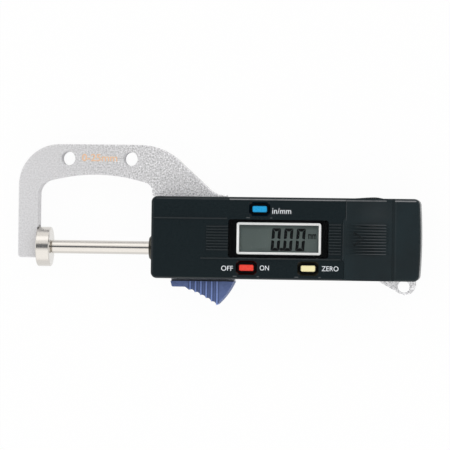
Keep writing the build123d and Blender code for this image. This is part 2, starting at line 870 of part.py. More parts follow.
# Four screws through the rear cover and the frame into the front housing
with BuildPart() as cover_screws:
    with BuildSketch(Plane.XY.offset(seat_gap)):
        with Locations(*cover_screw_places):
            Circle(cover_screw_head_radius)
    extrude(amount=cover_screw_head_height)
    with BuildSketch(Plane.XY.offset(seat_gap)):
        with Locations(*cover_screw_places):
            Circle(cover_screw_radius)
    extrude(amount=cover_screw_end_z - seat_gap)
cover_screws.part.label = "cover_screws"
export_step(cover_screws.part, "parts/cover_screws.step")

# Front housing: moulded shell with the display, button wells and battery well
with BuildPart() as front_housing:
    with BuildSketch(Plane.XY.offset(parting_z)):
        add(housing_outline())
    extrude(amount=skirt_z - parting_z)
    with BuildSketch(Plane.XY.offset(skirt_z)):
        add(housing_outline())
        add(cover_side(-seat_gap), mode=Mode.SUBTRACT)
    extrude(amount=body_depth - skirt_z)
    front_rim = front_housing.faces().sort_by(Axis.Z)[-1].edges()
    fillet(
        front_rim.filter_by(lambda edge: edge.center().X < seam_middle_x - wall),
        front_edge_radius,
    )
    with BuildSketch(Plane.XY.offset(skirt_z)):
        add(housing_outline(upstand_inset))
        keep_side(seam_middle_x - wall, True)
    extrude(amount=deck_z - skirt_z)

    # Cavity, wide under the display and narrower behind the battery deck
    with BuildSketch(Plane.XY.offset(parting_z)):
        add(housing_outline(wall))
        keep_side(seam_middle_x - wall, False)
    extrude(amount=ceiling_z - parting_z, mode=Mode.SUBTRACT)
    with BuildSketch(Plane.XY.offset(parting_z)):
        add(housing_outline(wall))
        keep_side(seam_middle_x - wall, True)
    extrude(amount=skirt_z - cover_wall - parting_z, mode=Mode.SUBTRACT)
    with BuildSketch(Plane.XY.offset(parting_z)):
        add(housing_outline(upstand_inset + upstand_wall))
        keep_side(seam_top_x, True)
    extrude(amount=deck_z - upstand_wall - parting_z, mode=Mode.SUBTRACT)

    # Battery well
    with BuildSketch(Plane.XY.offset(well_floor_z - well_floor)):
        with Locations((battery_x, battery_y)):
            Circle(well_radius)
    extrude(amount=deck_z - well_floor_z + well_floor)
    with BuildSketch(Plane.XY.offset(well_floor_z)):
        with Locations((battery_x, battery_y)):
            Circle(battery_radius + seat_gap)
    extrude(amount=deck_z - well_floor_z, mode=Mode.SUBTRACT)

    # Bosses for the cover screws and the board screws
    for x, y in cover_screw_places:
        over_shoulder = y > shoulder_bottom_y and shoulder_left_x < x < shoulder_right_x
        foot_z = frame_front_z + seat_gap if over_shoulder else parting_z
        with BuildSketch(Plane.XY.offset(foot_z)):
            with Locations((x, y)):
                Circle(cover_boss_radius)
        extrude(amount=ceiling_z - foot_z)
    with BuildSketch(Plane.XY.offset(parting_z)):
        with Locations(*cover_screw_places):
            Circle(cover_screw_radius + fixed_gap)
    extrude(amount=cover_screw_end_z + wall - parting_z, mode=Mode.SUBTRACT)
    with BuildSketch(Plane.XY.offset(board_top_z)):
        with Locations(*board_screw_places):
            Circle(board_boss_radius)
            Circle(board_screw_radius + fixed_gap, mode=Mode.SUBTRACT)
    extrude(amount=ceiling_z - board_top_z)

    # Window recess with its ledge
    with BuildSketch(Plane.XY.offset(window_floor_z)):
        with Locations((window_x, window_y)):
            RectangleRounded(
                window_length + 2 * seat_gap,
                window_height + 2 * seat_gap,
                window_radius + seat_gap,
            )
    extrude(amount=window_thickness, mode=Mode.SUBTRACT)
    with BuildSketch(Plane.XY.offset(ceiling_z)):
        with Locations((display_x, display_y)):
            RectangleRounded(
                rim_length + 2 * seat_gap,
                rim_height + 2 * seat_gap,
                rim_radius + seat_gap,
            )
    extrude(amount=front_wall, mode=Mode.SUBTRACT)

    # Button craters and holes
    for place in button_places.values():
        with BuildSketch(Plane.XY.offset(body_depth)):
            with Locations(place):
                RectangleRounded(crater_length, crater_height, crater_corner_radius)
        with BuildSketch(Plane.XY.offset(body_depth - crater_depth)):
            with Locations(place):
                RectangleRounded(crater_floor_length, crater_floor_height, crater_floor_radius)
        loft(mode=Mode.SUBTRACT)
        with BuildSketch(Plane.XY.offset(ceiling_z)):
            with Locations(place):
                RectangleRounded(
                    button_length + 2 * seat_gap,
                    button_height + 2 * seat_gap,
                    button_radius + seat_gap,
                )
        extrude(amount=front_wall, mode=Mode.SUBTRACT)

    # Raised ribs and ridge lines
    with BuildSketch(across_x(left_rib_x)):
        rib_profiles(left_rib_count, rib_middle_y, body_depth)
    extrude(amount=left_rib_length)
    with BuildSketch(across_x(right_rib_x)):
        rib_profiles(right_rib_count, rib_middle_y, body_depth)
    extrude(amount=right_rib_length)
    with BuildSketch(across_x(upper_ridge_x)):
        ridge_profile(upper_ridge_y, body_depth)
    extrude(amount=upper_ridge_length)
    with BuildSketch(across_x(lower_ridge_x)):
        ridge_profile(lower_ridge_y, body_depth)
    extrude(amount=lower_ridge_length)

    # Grooves in the upstand for the battery cover's beads
    for side in (-1, 1):
        with BuildSketch(across_x(seam_middle_x)):
            with Locations((side * (half_height - upstand_inset), bead_z)):
                Rectangle(2 * (bead_depth + seat_gap), bead_height + 2 * seat_gap)
        extrude(amount=body_length, mode=Mode.SUBTRACT)

    # Openings for the frame's shoulder, the bush, the trigger's neck and the lug
    with BuildSketch(Plane.XY.offset(parting_z)):
        with Locations(((shoulder_left_x + shoulder_right_x) / 2, half_height)):
            Rectangle(
                shoulder_right_x - shoulder_left_x + 2 * seat_gap,
                2 * wall + 2 * seat_gap,
            )
    extrude(amount=frame_thickness + seat_gap, mode=Mode.SUBTRACT)
    with BuildSketch(spindle_axis.offset(-half_length)):
        Circle(bush_radius + seat_gap)
        Rectangle(
            2 * (bush_radius + seat_gap),
            frame_thickness,
            align=(Align.CENTER, Align.MAX),
        )
    extrude(amount=wall, mode=Mode.SUBTRACT)
    with BuildSketch(Plane.XY.offset(parting_z)):
        with Locations((carriage_left_x - free_gap, -half_height)):
            Rectangle(
                carriage_length + travel + 2 * free_gap,
                wall + free_gap,
                align=(Align.MIN, Align.MIN),
            )
    extrude(amount=spindle_z + neck_width / 2 + free_gap - parting_z, mode=Mode.SUBTRACT)
    with BuildSketch(Plane.XY.offset(parting_z)):
        with Locations((lug_left_x - seat_gap, -half_height)):
            Rectangle(
                lug_middle_x + lug_radius - lug_left_x + 2 * seat_gap,
                2 * wall + seat_gap,
                align=(Align.MIN, Align.MIN),
            )
    extrude(amount=lug_thickness + seat_gap, mode=Mode.SUBTRACT)

    # Undercut channel and opening of the data port
    with BuildSketch(across_x(port_cover_x - port_travel - seat_gap)):
        add(port_section(seat_gap))
    extrude(amount=port_cover_length + port_travel + 2 * seat_gap, mode=Mode.SUBTRACT)
    with BuildSketch(Plane.XZ.offset(-half_height)):
        with Locations((port_opening_x, spindle_z)):
            Rectangle(port_opening_length, port_opening_width)
    extrude(amount=2 * wall, mode=Mode.SUBTRACT)
front_housing.part.label = "front_housing"
export_step(front_housing.part, "parts/front_housing.step")

# Battery cover: slides off to the right on its beads
with BuildPart() as battery_cover:
    with BuildSketch(Plane.XY.offset(skirt_z + seat_gap)):
        add(housing_outline())
        add(cover_side(), mode=Mode.INTERSECT)
    extrude(amount=body_depth - skirt_z - seat_gap)
    cover_rim = battery_cover.faces().sort_by(Axis.Z)[-1].edges()
    fillet(
        cover_rim.filter_by(lambda edge: edge.center().X > seam_top_x + wall),
        front_edge_radius,
    )
    with BuildSketch(Plane.XY.offset(skirt_z + seat_gap)):
        add(housing_outline(cover_wall))
    extrude(amount=deck_z - skirt_z, mode=Mode.SUBTRACT)
    for side in (-1, 1):
        with BuildSketch(across_x(seam_top_x + wall)):
            with Locations((side * (half_height - cover_wall), bead_z)):
                Rectangle(2 * bead_depth, bead_height)
        extrude(amount=end_x - corner_radius - seam_top_x - 2 * wall)

    # Thumb dip with ribs that fade out at both ends
    dip_radius = ((dip_length / 2) ** 2 + dip_depth**2) / (2 * dip_depth)
    with BuildSketch(Plane.XZ.offset(-body_height)):
        with Locations((dip_middle_x, body_depth + dip_radius - dip_depth)):
            Circle(dip_radius)
    extrude(amount=2 * body_height, mode=Mode.SUBTRACT)
    with BuildSketch(across_x(cover_rib_x)):
        rib_profiles(cover_rib_count, cover_rib_middle_y, body_depth - rib_rise)
    extrude(amount=cover_rib_length)

    # Chevron that shows the way to slide, and a cross groove
    chevron_bottom_z = body_depth - dip_depth - chevron_depth
    with BuildSketch(Plane.XY.offset(chevron_bottom_z)):
        with BuildLine():
            Polyline(
                (chevron_x, chevron_y + chevron_height / 2),
                (chevron_x + chevron_length, chevron_y),
                (chevron_x, chevron_y - chevron_height / 2),
            )
        trace(line_width=chevron_stroke)
    extrude(amount=body_depth - chevron_bottom_z, mode=Mode.SUBTRACT)
    with BuildSketch(Plane.XY.offset(body_depth - groove_depth)):
        with Locations((groove_x, 0)):
            Rectangle(groove_width, body_height)
    extrude(amount=groove_depth, mode=Mode.SUBTRACT)
battery_cover.part.label = "battery_cover"
export_step(battery_cover.part, "parts/battery_cover.step")

# Button cell in its well
with BuildPart() as battery:
    with BuildSketch(Plane.XY.offset(well_floor_z + contact_thickness)):
        with Locations((battery_x, battery_y)):
            Circle(battery_radius - battery_step)
    extrude(amount=battery_step)
    with BuildSketch(Plane.XY.offset(well_floor_z + contact_thickness + battery_step)):
        with Locations((battery_x, battery_y)):
            Circle(battery_radius)
    extrude(amount=battery_height - battery_step)
    chamfer(battery.edges().group_by(Axis.Z)[-1], battery_edge_chamfer)
battery.part.label = "battery"
export_step(battery.part, "parts/battery.step")

# Spring contact under the cell
with BuildPart() as battery_minus_contact:
    with BuildSketch(Plane.XY.offset(well_floor_z)):
        with Locations((battery_x, battery_y)):
            Circle(contact_width)
            Rectangle(
                battery_radius,
                contact_width / 2,
                align=(Align.MAX, Align.CENTER),
            )
    extrude(amount=contact_thickness)
battery_minus_contact.part.label = "battery_minus_contact"
export_step(battery_minus_contact.part, "parts/battery_minus_contact.step")

# Contact strip between the cell's rim and the deck, on the cell's top
with BuildPart() as battery_plus_contact:
    with BuildSketch(Plane.XY.offset(deck_z - seat_gap)):
        with Locations((battery_x, battery_y)):
            Rectangle(2 * battery_radius - contact_width, contact_width)
    extrude(amount=seat_gap)
battery_plus_contact.part.label = "battery_plus_contact"
export_step(battery_plus_contact.part, "parts/battery_plus_contact.step")

# Clear window over the display
with BuildPart() as display_window:
    with BuildSketch(Plane.XY.offset(window_floor_z)):
        with Locations((window_x, window_y)):
            RectangleRounded(window_length, window_height, window_radius)
    extrude(amount=window_thickness)
    chamfer(display_window.edges().group_by(Axis.Z)[-1], seat_gap)
display_window.part.label = "display_window"
export_step(display_window.part, "parts/display_window.step")

# White frame that carries the display glass and shows as a border round it
with BuildPart() as lcd_frame:
    with BuildSketch(Plane.XY.offset(board_top_z)):
        with Locations((display_x, display_y)):
            Rectangle(
                view_length + 2 * (glass_margin + lcd_frame_wall),
                view_height + 2 * (glass_margin + lcd_frame_wall),
            )
    extrude(amount=ceiling_z - board_top_z)
    with BuildSketch(Plane.XY.offset(board_top_z)):
        with Locations((display_x, display_y)):
            RectangleRounded(rim_length, rim_height, rim_radius)
    extrude(amount=window_floor_z - rim_drop - board_top_z)
    with BuildSketch(Plane.XY.offset(board_top_z)):
        with Locations((display_x, display_y)):
            Rectangle(
                view_length + 2 * glass_margin + 2 * fixed_gap,
                view_height + 2 * glass_margin + 2 * fixed_gap,
            )
    extrude(amount=strip_rubber_height + glass_thickness, mode=Mode.SUBTRACT)
    with BuildSketch(Plane.XY.offset(board_top_z)):
        with Locations((display_x, display_y)):
            Rectangle(view_length, view_height)
    extrude(amount=body_depth - board_top_z, mode=Mode.SUBTRACT)
lcd_frame.part.label = "lcd_frame"
export_step(lcd_frame.part, "parts/lcd_frame.step")

# Display glass
with BuildPart() as lcd_panel:
    with BuildSketch(Plane.XY.offset(glass_bottom_z)):
        with Locations((display_x, display_y)):
            Rectangle(view_length + 2 * glass_margin, view_height + 2 * glass_margin)
    extrude(amount=glass_thickness)
lcd_panel.part.label = "lcd_panel"
export_step(lcd_panel.part, "parts/lcd_panel.step")

# Rubber connector strips between the glass and the board
strip_reach = view_height / 2 + glass_margin - strip_rubber_width / 2
with BuildPart() as upper_connector_strip:
    with BuildSketch(Plane.XY.offset(board_top_z)):
        with Locations((display_x, display_y + strip_reach)):
            Rectangle(view_length, strip_rubber_width)
    extrude(amount=strip_rubber_height)
upper_connector_strip.part.label = "upper_connector_strip"
export_step(upper_connector_strip.part, "parts/upper_connector_strip.step")

with BuildPart() as lower_connector_strip:
    with BuildSketch(Plane.XY.offset(board_top_z)):
        with Locations((display_x, display_y - strip_reach)):
            Rectangle(view_length, strip_rubber_width)
    extrude(amount=strip_rubber_height)
lower_connector_strip.part.label = "lower_connector_strip"
export_step(lower_connector_strip.part, "parts/lower_connector_strip.step")

# Circuit board, screwed under the ceiling
with BuildPart() as circuit_board:
    with BuildSketch(Plane.XY.offset(board_bottom_z)):
        with Locations(((board_left_x + board_right_x) / 2, 0)):
            RectangleRounded(
                board_right_x - board_left_x,
                body_height - 2 * (wall + board_edge_gap),
                board_radius,
            )
        with Locations(*board_screw_places):
            Circle(board_screw_radius + seat_gap, mode=Mode.SUBTRACT)
        with Locations(cover_screw_places[0]):
            Circle(cover_boss_radius + seat_gap, mode=Mode.SUBTRACT)
    extrude(amount=board_thickness)
circuit_board.part.label = "circuit_board"
export_step(circuit_board.part, "parts/circuit_board.step")

# Board screws, put in from below
with BuildPart() as board_screws:
    with BuildSketch(Plane.XY.offset(board_bottom_z - board_screw_head_height)):
        with Locations(*board_screw_places):
            Circle(board_screw_head_radius)
    extrude(amount=board_screw_head_height)
    with BuildSketch(Plane.XY.offset(board_bottom_z - board_screw_head_height)):
        with Locations(*board_screw_places):
            Circle(board_screw_radius)
    extrude(amount=board_screw_head_height + board_screw_length)
board_screws.part.label = "board_screws"
export_step(board_screws.part, "parts/board_screws.step")

# Measuring chip on the board, under the glass
with BuildPart() as controller_chip:
    with BuildSketch(Plane.XY.offset(board_top_z)):
        with Locations((display_x, display_y)):
            Rectangle(chip_size, chip_size)
    extrude(amount=chip_height)
controller_chip.part.label = "controller_chip"
export_step(controller_chip.part, "parts/controller_chip.step")

# Buttons and the push switches under them
for name, place in button_places.items():
    with BuildPart() as push_switch:
        with BuildSketch(Plane.XY.offset(board_top_z)):
            with Locations(place):
                Rectangle(switch_length, switch_width)
        extrude(amount=switch_height)
        with BuildSketch(Plane.XY.offset(board_top_z + switch_height)):
            with Locations(place):
                Circle(plunger_radius)
        extrude(amount=plunger_height)
    push_switch.part.label = name + "_switch"
    export_step(push_switch.part, f"parts/{name}_switch.step")

    with BuildPart() as button:
        with BuildSketch(Plane.XY.offset(ceiling_z - fixed_gap)):
            with Locations(place):
                RectangleRounded(button_length, button_height, button_radius)
        extrude(amount=button_top_z - ceiling_z + fixed_gap)
        chamfer(button.edges().group_by(Axis.Z)[-1], button_edge_chamfer)
        with BuildSketch(Plane.XY.offset(ceiling_z - fixed_gap)):
            with Locations(place):
                Rectangle(
                    button_length + 2 * button_flange_margin,
                    button_height + 2 * button_flange_margin,
                )
        extrude(amount=-button_flange_thickness)
        with BuildSketch(Plane.XY.offset(button_stem_z)):
            with Locations(place):
                Circle(button_stem_radius)
        extrude(amount=ceiling_z - button_flange_thickness - button_stem_z)
    button.part.label = name + "_button"
    export_step(button.part, f"parts/{name}_button.step")

# Port cover: a strip with a low rounded grip, in its undercut channel
with BuildPart() as port_cover:
    with BuildSketch(across_x(port_cover_x)):
        add(port_section())
    extrude(amount=port_cover_length)
    with BuildSketch(Plane.XY.offset(spindle_z)):
        with BuildLine():
            crown = Spline(
                (port_cover_x, half_height),
                (port_cover_x + port_grip_peak, half_height + port_grip_rise),
                (port_cover_x + port_cover_length, half_height),
                tangents=[(1, 0), (1, 0), (1, 0)],
            )
            Line(crown @ 1, crown @ 0)
        make_face()
    extrude(amount=port_cover_width / 2 - seat_gap, both=True)
port_cover.part.label = "port_cover"
export_step(port_cover.part, "parts/port_cover.step")

# Data connector behind the port
with BuildPart() as data_connector:
    with BuildSketch(Plane.XY.offset(parting_z)):
        with Locations((port_opening_x, half_height - wall - seat_gap)):
            Rectangle(
                port_opening_length,
                connector_depth,
                align=(Align.CENTER, Align.MAX),
            )
    extrude(amount=well_floor_z - well_floor - seat_gap - parting_z)
data_connector.part.label = "data_connector"
export_step(data_connector.part, "parts/data_connector.step")
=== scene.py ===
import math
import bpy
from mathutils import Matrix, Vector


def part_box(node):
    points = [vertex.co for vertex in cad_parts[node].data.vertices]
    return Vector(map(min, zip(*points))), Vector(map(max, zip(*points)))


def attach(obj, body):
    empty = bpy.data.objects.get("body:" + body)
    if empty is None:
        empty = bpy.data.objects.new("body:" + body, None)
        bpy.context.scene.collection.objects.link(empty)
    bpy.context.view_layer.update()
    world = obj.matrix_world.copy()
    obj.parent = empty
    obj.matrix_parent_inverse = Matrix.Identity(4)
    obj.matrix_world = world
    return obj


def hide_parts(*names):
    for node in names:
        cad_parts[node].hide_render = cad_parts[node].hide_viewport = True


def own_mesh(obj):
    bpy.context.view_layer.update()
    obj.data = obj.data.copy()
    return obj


bl_info = {
    "name": "Digital snap gauge",
    "version": (1, 0, 0),
    "blender": (4, 5, 0),
    "location": "3D View > Sidebar > Snap Gauge",
    "description": "Finishes, marks and small fasteners of a digital snap gauge",
    "category": "Object",
}

import bmesh
import bpy
from bpy.props import FloatProperty, FloatVectorProperty, IntProperty, PointerProperty, StringProperty
from bpy.types import Operator, Panel, PropertyGroup
from mathutils import Matrix, Vector

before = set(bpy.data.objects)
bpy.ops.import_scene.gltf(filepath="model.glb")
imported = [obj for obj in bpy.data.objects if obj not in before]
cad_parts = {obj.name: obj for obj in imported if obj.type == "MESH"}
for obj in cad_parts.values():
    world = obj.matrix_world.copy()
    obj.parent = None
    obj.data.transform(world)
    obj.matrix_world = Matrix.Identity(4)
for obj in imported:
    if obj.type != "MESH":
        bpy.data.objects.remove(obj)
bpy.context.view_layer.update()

# Meshes are in metres, and MM turns millimetres into them
MM = 0.001
BODY = "gauge_body"
SLIDER = "slider"
BUTTONS = ("unit_button", "power_button", "zero_button")

# Materials lay their patterns out in millimetres. The casting's colour holds painted light: it is darkest
# in the arch, lighter towards both ends, and lighter beside the housing, where it lifts the housing's shadow
ARCH_MIDDLE_X = -62.0
SPECKLE_X = (-80.0, -45.0)
PAINTED_LIGHT_HOUSING_X = (-58.0, -42.0)
PAINTED_LIGHT_HOUSING_Y = (19.0, 13.5)

# Roughness, grain, depth of grain, drift of tone and specular level of the black moulding
BLACK_DETAIL = (0.3, 7.0, 0.006, 0.14, 0.3)

# The ribs on the housing and its cover, and the cover's groove and the middle of its painted sheen spot
RIB_RISE = 0.3
RIB_PITCH = 0.96
RIB_SHIFT = 0.05
RIB_HALF_WIDTH = 0.15
RIB_FIELD_HALF = 5.1
RIB_FIELD_END = 33.2
GROOVE_X = 36.0
SHEEN_PATCH_X = 30.0
SHEEN_PATCH_Y = 8.5

# How far a painted highlight line lies inside the outline and stops short of a corner, how far the arch
# shades the top edge, and how far a crater reaches beyond its button
HIGHLIGHT_INSET = 0.8
CORNER = 1.6
SHADED_EDGE = 26.0
CRATER_MARGIN = 1.13

RIDGE_COUNT = 6
CONTACT_COUNT = 4

# The figures' slant, the gap where two bars meet and half of the gap at their waist
DIGIT_SLANT = math.tan(math.radians(4.0))
DIGIT_JOINT = 0.05 * MM
DIGIT_WAIST = 0.13 * MM

# From the display's middle, in millimetres: the first figure, and the dot's way from it
FIRST_DIGIT = (-1.06, -0.3)
DOT_SHIFT = 1.86

# Places of words, in millimetres: left end, right end, foot and height. The unit sign is placed from
# the display's middle, and a label's height is a share of the height that the labels have in common
UNIT_SIGN = (9.6, 12.3, 0.05, 2.35)
ARCH_PLACE = (-68.9, -57.0, 24.95, 2.45)
ARCH_FACE_Z = 10.0
LABELS = {
    "OFF": (-21.1, -17.2, -10.8, 1.0),
    "ON": (-8.3, -5.3, -10.55, 1.0),
    "ZERO": (12.15, 17.65, -10.5, 1.0),
    "in/mm": (-4.4, 1.8, 8.15, 1.2),
}


# Sizes and colours that a user would change


def length_property(name, description, default):
    """A length, with its default in millimetres."""
    return FloatProperty(name=name, description=description, default=default * MM, unit="LENGTH")


def colour_property(name, description, default):
    """A colour, with its default in linear light."""
    return FloatVectorProperty(name=name, description=description, default=default, subtype="COLOR")


class GaugeMarks(PropertyGroup):
    """The printed words and the display's figures."""

    label_height: length_property("Label height", "Height of the capitals beside the buttons", 1.7)
    ink_thickness: length_property("Ink thickness", "How far printed ink stands up from its face", 0.012)
    ink_colour: colour_property("Ink", "Colour of the printed words", (0.9, 0.95, 1.0))
    arch_words: StringProperty(name="Arch words", description="Range printed on the arch", default="0-25mm")
    arch_colour: colour_property("Arch ink", "Colour of the print on the arch", (0.84, 0.55, 0.34))
    digit_height: length_property("Digit height", "Height of the display's figures", 7.45)
    digit_width: length_property("Digit width", "Width of one figure without its slant", 2.95)
    digit_pitch: length_property("Digit pitch", "Distance from one figure to the next", 4.09)
    segment_width: length_property("Segment width", "Width of one bar of a figure", 1.0)
    segment_colour: colour_property("Segments", "Colour of a lit bar", (0.001, 0.0013, 0.0014))


class GaugeFinishes(PropertyGroup):
    """Colours of the gauge's surfaces."""

    casting: colour_property("Casting", "Hammered silver paint", (0.69, 0.692, 0.712))
    steel: colour_property("Steel", "Ground and turned steel", (0.66, 0.635, 0.6))
    black_steel: colour_property("Black steel", "Blackened bushes", (0.06, 0.058, 0.05))
    housing: colour_property("Housing", "Black moulding with a green cast", (0.0041, 0.0102, 0.013))
    cover: colour_property("Battery cover", "Worn black moulding", (0.0041, 0.0122, 0.0158))
    # Painted highlights: a light colour laid along the mouldings' edges, raised lines and ribs
    painted_highlight: colour_property("Painted highlights", "Moulding lightened by painted highlights", (0.2, 0.205, 0.215))
    # The recesses' colour is darker than the housing's: painted shade in the recesses
    recess: colour_property("Recesses", "Polished black moulding with painted shade", (0.001, 0.0012, 0.0015))
    carriage: colour_property("Carriage", "Grey moulding inside the housing", (0.42, 0.45, 0.5))
    rim: colour_property("Display frame", "White moulding round the display", (0.97, 0.975, 0.98))
    window: colour_property("Window", "Clear window over the display", (0.97, 0.985, 0.98))
    display: colour_property("Display glass", "Grey-green ground of the display", (0.09, 0.114, 0.109))
    unit_button: colour_property("Unit button", "Blue button", (0.012, 0.355, 0.71))
    power_button: colour_property("Power button", "Red button", (0.86, 0.062, 0.042))
    zero_button: colour_property("Zero button", "Pale yellow button", (0.94, 0.87, 0.5))
    trigger: colour_property("Trigger", "Blue thumb trigger", (0.118, 0.165, 0.345))
    ridge_start: length_property("Ridge start", "From the trigger's left end to its first ridge", 6.6)
    ridge_pitch: length_property("Ridge pitch", "From one ridge to the next", 1.8)
    switch: colour_property("Switches", "Push switches and the data connector", (0.015, 0.015, 0.016))
    chip: colour_property("Chip", "Measuring chip", (0.012, 0.012, 0.013))
    board: colour_property("Board", "Solder mask", (0.012, 0.13, 0.045))
    brass: colour_property("Contacts", "Plated contacts and traces", (0.78, 0.6, 0.27))


class GaugeFasteners(PropertyGroup):
    """Springs and screws that the frame holds as plain solids."""

    spring_turns: IntProperty(name="Spring turns", description="Turns of the return spring", default=24)
    spring_wire: length_property("Spring wire", "Diameter of the wire", 0.4)
    thread_pitch: length_property("Thread pitch", "Pitch of the small screws", 0.4)


class GaugeStage(PropertyGroup):
    """Camera, lamps and floor."""

    camera_distance: FloatProperty(
        name="Camera distance", description="From the lens to the aim", default=1.0, unit="LENGTH"
    )
    camera_lens: FloatProperty(name="Lens", description="Focal length in millimetres", default=240.0)
    camera_yaw: FloatProperty(
        name="Camera yaw",
        description="How far the camera stands towards the tail",
        default=math.radians(5.5),
        unit="ROTATION",
    )
    camera_roll: FloatProperty(
        name="Camera roll", description="Turn of the picture", default=math.radians(0.75), unit="ROTATION"
    )
    aim: FloatVectorProperty(
        name="Aim",
        description="Point at the picture's centre",
        default=(-20.94 * MM, 4.26 * MM, 7.0 * MM),
        subtype="XYZ",
        unit="LENGTH",
    )
    key_power: FloatProperty(
        name="Key lamp", description="Softbox above the dial side", default=0.9, unit="POWER"
    )
    fill_power: FloatProperty(
        name="Fill lamp", description="Softbox on the trigger side", default=1.9, unit="POWER"
    )
    world_strength: FloatProperty(
        name="Room light", description="Strength of the room's soft light", default=1.06
    )


# Node trees under construction


class Tree:
    """A node tree and the ways to add to it."""

    def __init__(self, tree):
        self.tree = tree

    def add(self, kind, inputs=None, **settings):
        """Add a node with its settings, and feed its inputs."""
        node = self.tree.nodes.new("ShaderNode" + kind)
        for setting, value in settings.items():
            setattr(node, setting, value)
        for label, value in (inputs or {}).items():
            self.feed(node.inputs[label], value)
        return node

    def feed(self, socket, value):
        """Link an input to an output, or set it to a plain value or colour."""
        if isinstance(value, bpy.types.NodeSocket):
            self.tree.links.new(value, socket)
        elif socket.type == "RGBA":
            socket.default_value = (*value[:3], 1.0)
        else:
            socket.default_value = value

    def add_group(self, build, **values):
        """Add a shared node group, built on its first use, and give back its outputs."""
        name = build.__name__
        if name not in bpy.data.node_groups:
            build(Group(name))
        return self.add("Group", values, node_tree=bpy.data.node_groups[name]).outputs

    def calculate(self, operation, *values):
        """One sum, of outputs and plain numbers."""
        return self.add("Math", dict(enumerate(values)), operation=operation).outputs[0]

    def product(self, *values):
        """Several outputs and plain numbers multiplied."""
        result = values[0]
        for value in values[1:]:
            result = self.calculate("MULTIPLY", result, value)
        return result

    def scale(self, vector, amount):
        """A vector or colour multiplied by a number."""
        return self.add("VectorMath", {0: vector, "Scale": amount}, operation="SCALE").outputs[0]

    def remap(self, value, start, stop, low=0.0, high=1.0):
        """How far a value has come from a start to a stop, told from low to high."""
        limits = {"From Min": start, "From Max": stop, "To Min": low, "To Max": high}
        return self.add("MapRange", {"Value": value, **limits}).outputs[0]

    def blend(self, mask, first, second):
        """Two colours mixed by a mask."""
        return self.add("Mix", {0: mask, 6: first, 7: second}, data_type="RGBA").outputs[2]

    def ramp(self, value, *stops, interpolation="LINEAR"):
        """A colour ramp with two stops, each a position and a colour."""
        node = self.add("ValToRGB", {"Fac": value})
        node.color_ramp.interpolation = interpolation
        for element, (position, colour) in zip(node.color_ramp.elements, stops):
            element.position = position
            element.color = (*colour, 1.0)
        return node.outputs["Color"]

    def noise(self, place, size, detail=2.0, roughness=0.5):
        """A noise texture's outputs."""
        inputs = {"Vector": place, "Scale": size, "Detail": detail, "Roughness": roughness}
        return self.add("TexNoise", inputs).outputs


class Group(Tree):
    """A node group that several materials share."""

    KINDS = {"Vector": "NodeSocketVector", "Colour": "NodeSocketColor"}

    def __init__(self, name):
        super().__init__(bpy.data.node_groups.new(name, "ShaderNodeTree"))

    def add_socket(self, label, side):
        """Name one input or output: a vector, a colour or else a number."""
        kind = self.KINDS.get(label, "NodeSocketFloat")
        return self.tree.interface.new_socket(name=label, in_out=side, socket_type=kind)

    def take(self, **defaults):
        """Name the group's inputs and give them back in the same order."""
        for label, default in defaults.items():
            socket = self.add_socket(label, "INPUT")
            if default is not None:
                socket.default_value = default
        return self.tree.nodes.new("NodeGroupInput").outputs[: len(defaults)]

    def give(self, **values):
        """Name the group's outputs and feed them."""
        for label in values:
            self.add_socket(label, "OUTPUT")
        end = self.tree.nodes.new("NodeGroupOutput")
        for label, value in values.items():
            self.feed(end.inputs[label], value)


def mould_grain(group):
    """The fine pitted texture of a moulded face, with its height and a mask of its peaks."""
    place, size = group.take(Vector=None, Size=4.0)
    height = group.noise(place, size, 3.0, 0.6)["Fac"]
    group.give(Height=height, Peaks=group.remap(height, 0.42, 0.68))


def tone_drift(group):
    """A colour that drifts a little lighter and darker over the surface."""
    place, colour, size, amount = group.take(Vector=None, Colour=(0.5, 0.5, 0.5, 1.0), Size=0.15, Amount=0.1)
    centred = group.calculate("SUBTRACT", group.noise(place, size)["Fac"], 0.5)
    group.give(Colour=group.scale(colour, group.calculate("MULTIPLY_ADD", centred, amount, 1.0)))


def tool_marks(group):
    """The fine lines that turning and grinding leave round an axis along X."""
    place, lines = group.take(Vector=None, Lines=30.0)
    along = group.add("SeparateXYZ", {0: place}).outputs["X"]
    across = group.add("VectorMath", {0: place, 1: (0.0, 1.0, 1.0)}, operation="MULTIPLY").outputs[0]
    radius = group.add("VectorMath", {0: across}, operation="LENGTH").outputs["Value"]
    ring = group.add("CombineXYZ", {"X": along, "Y": radius}).outputs[0]
    height = group.noise(ring, lines, 4.0, 0.7)["Fac"]
    group.give(Height=height, Mask=group.remap(height, 0.3, 0.7))


def painted_highlight_line(group):
    """A mask of one straight painted highlight line on a moulding."""
    along, across, place, reach, start, stop, strength = group.take(
        Along=0.0, Across=0.0, Place=0.0, Reach=0.0, Start=0.0, Stop=0.0, Strength=0.0
    )
    painted_light_band = group.calculate("COMPARE", across, place, reach)
    begun = group.calculate("GREATER_THAN", along, start)
    going = group.calculate("LESS_THAN", along, stop)
    spot = group.add("CombineXYZ", {"X": along, "Y": place}).outputs[0]
    fade = group.remap(group.noise(spot, 0.16)["Fac"], 0.35, 0.65, 0.7, 1.15)
    group.give(Mask=group.product(painted_light_band, begun, going, fade, strength))


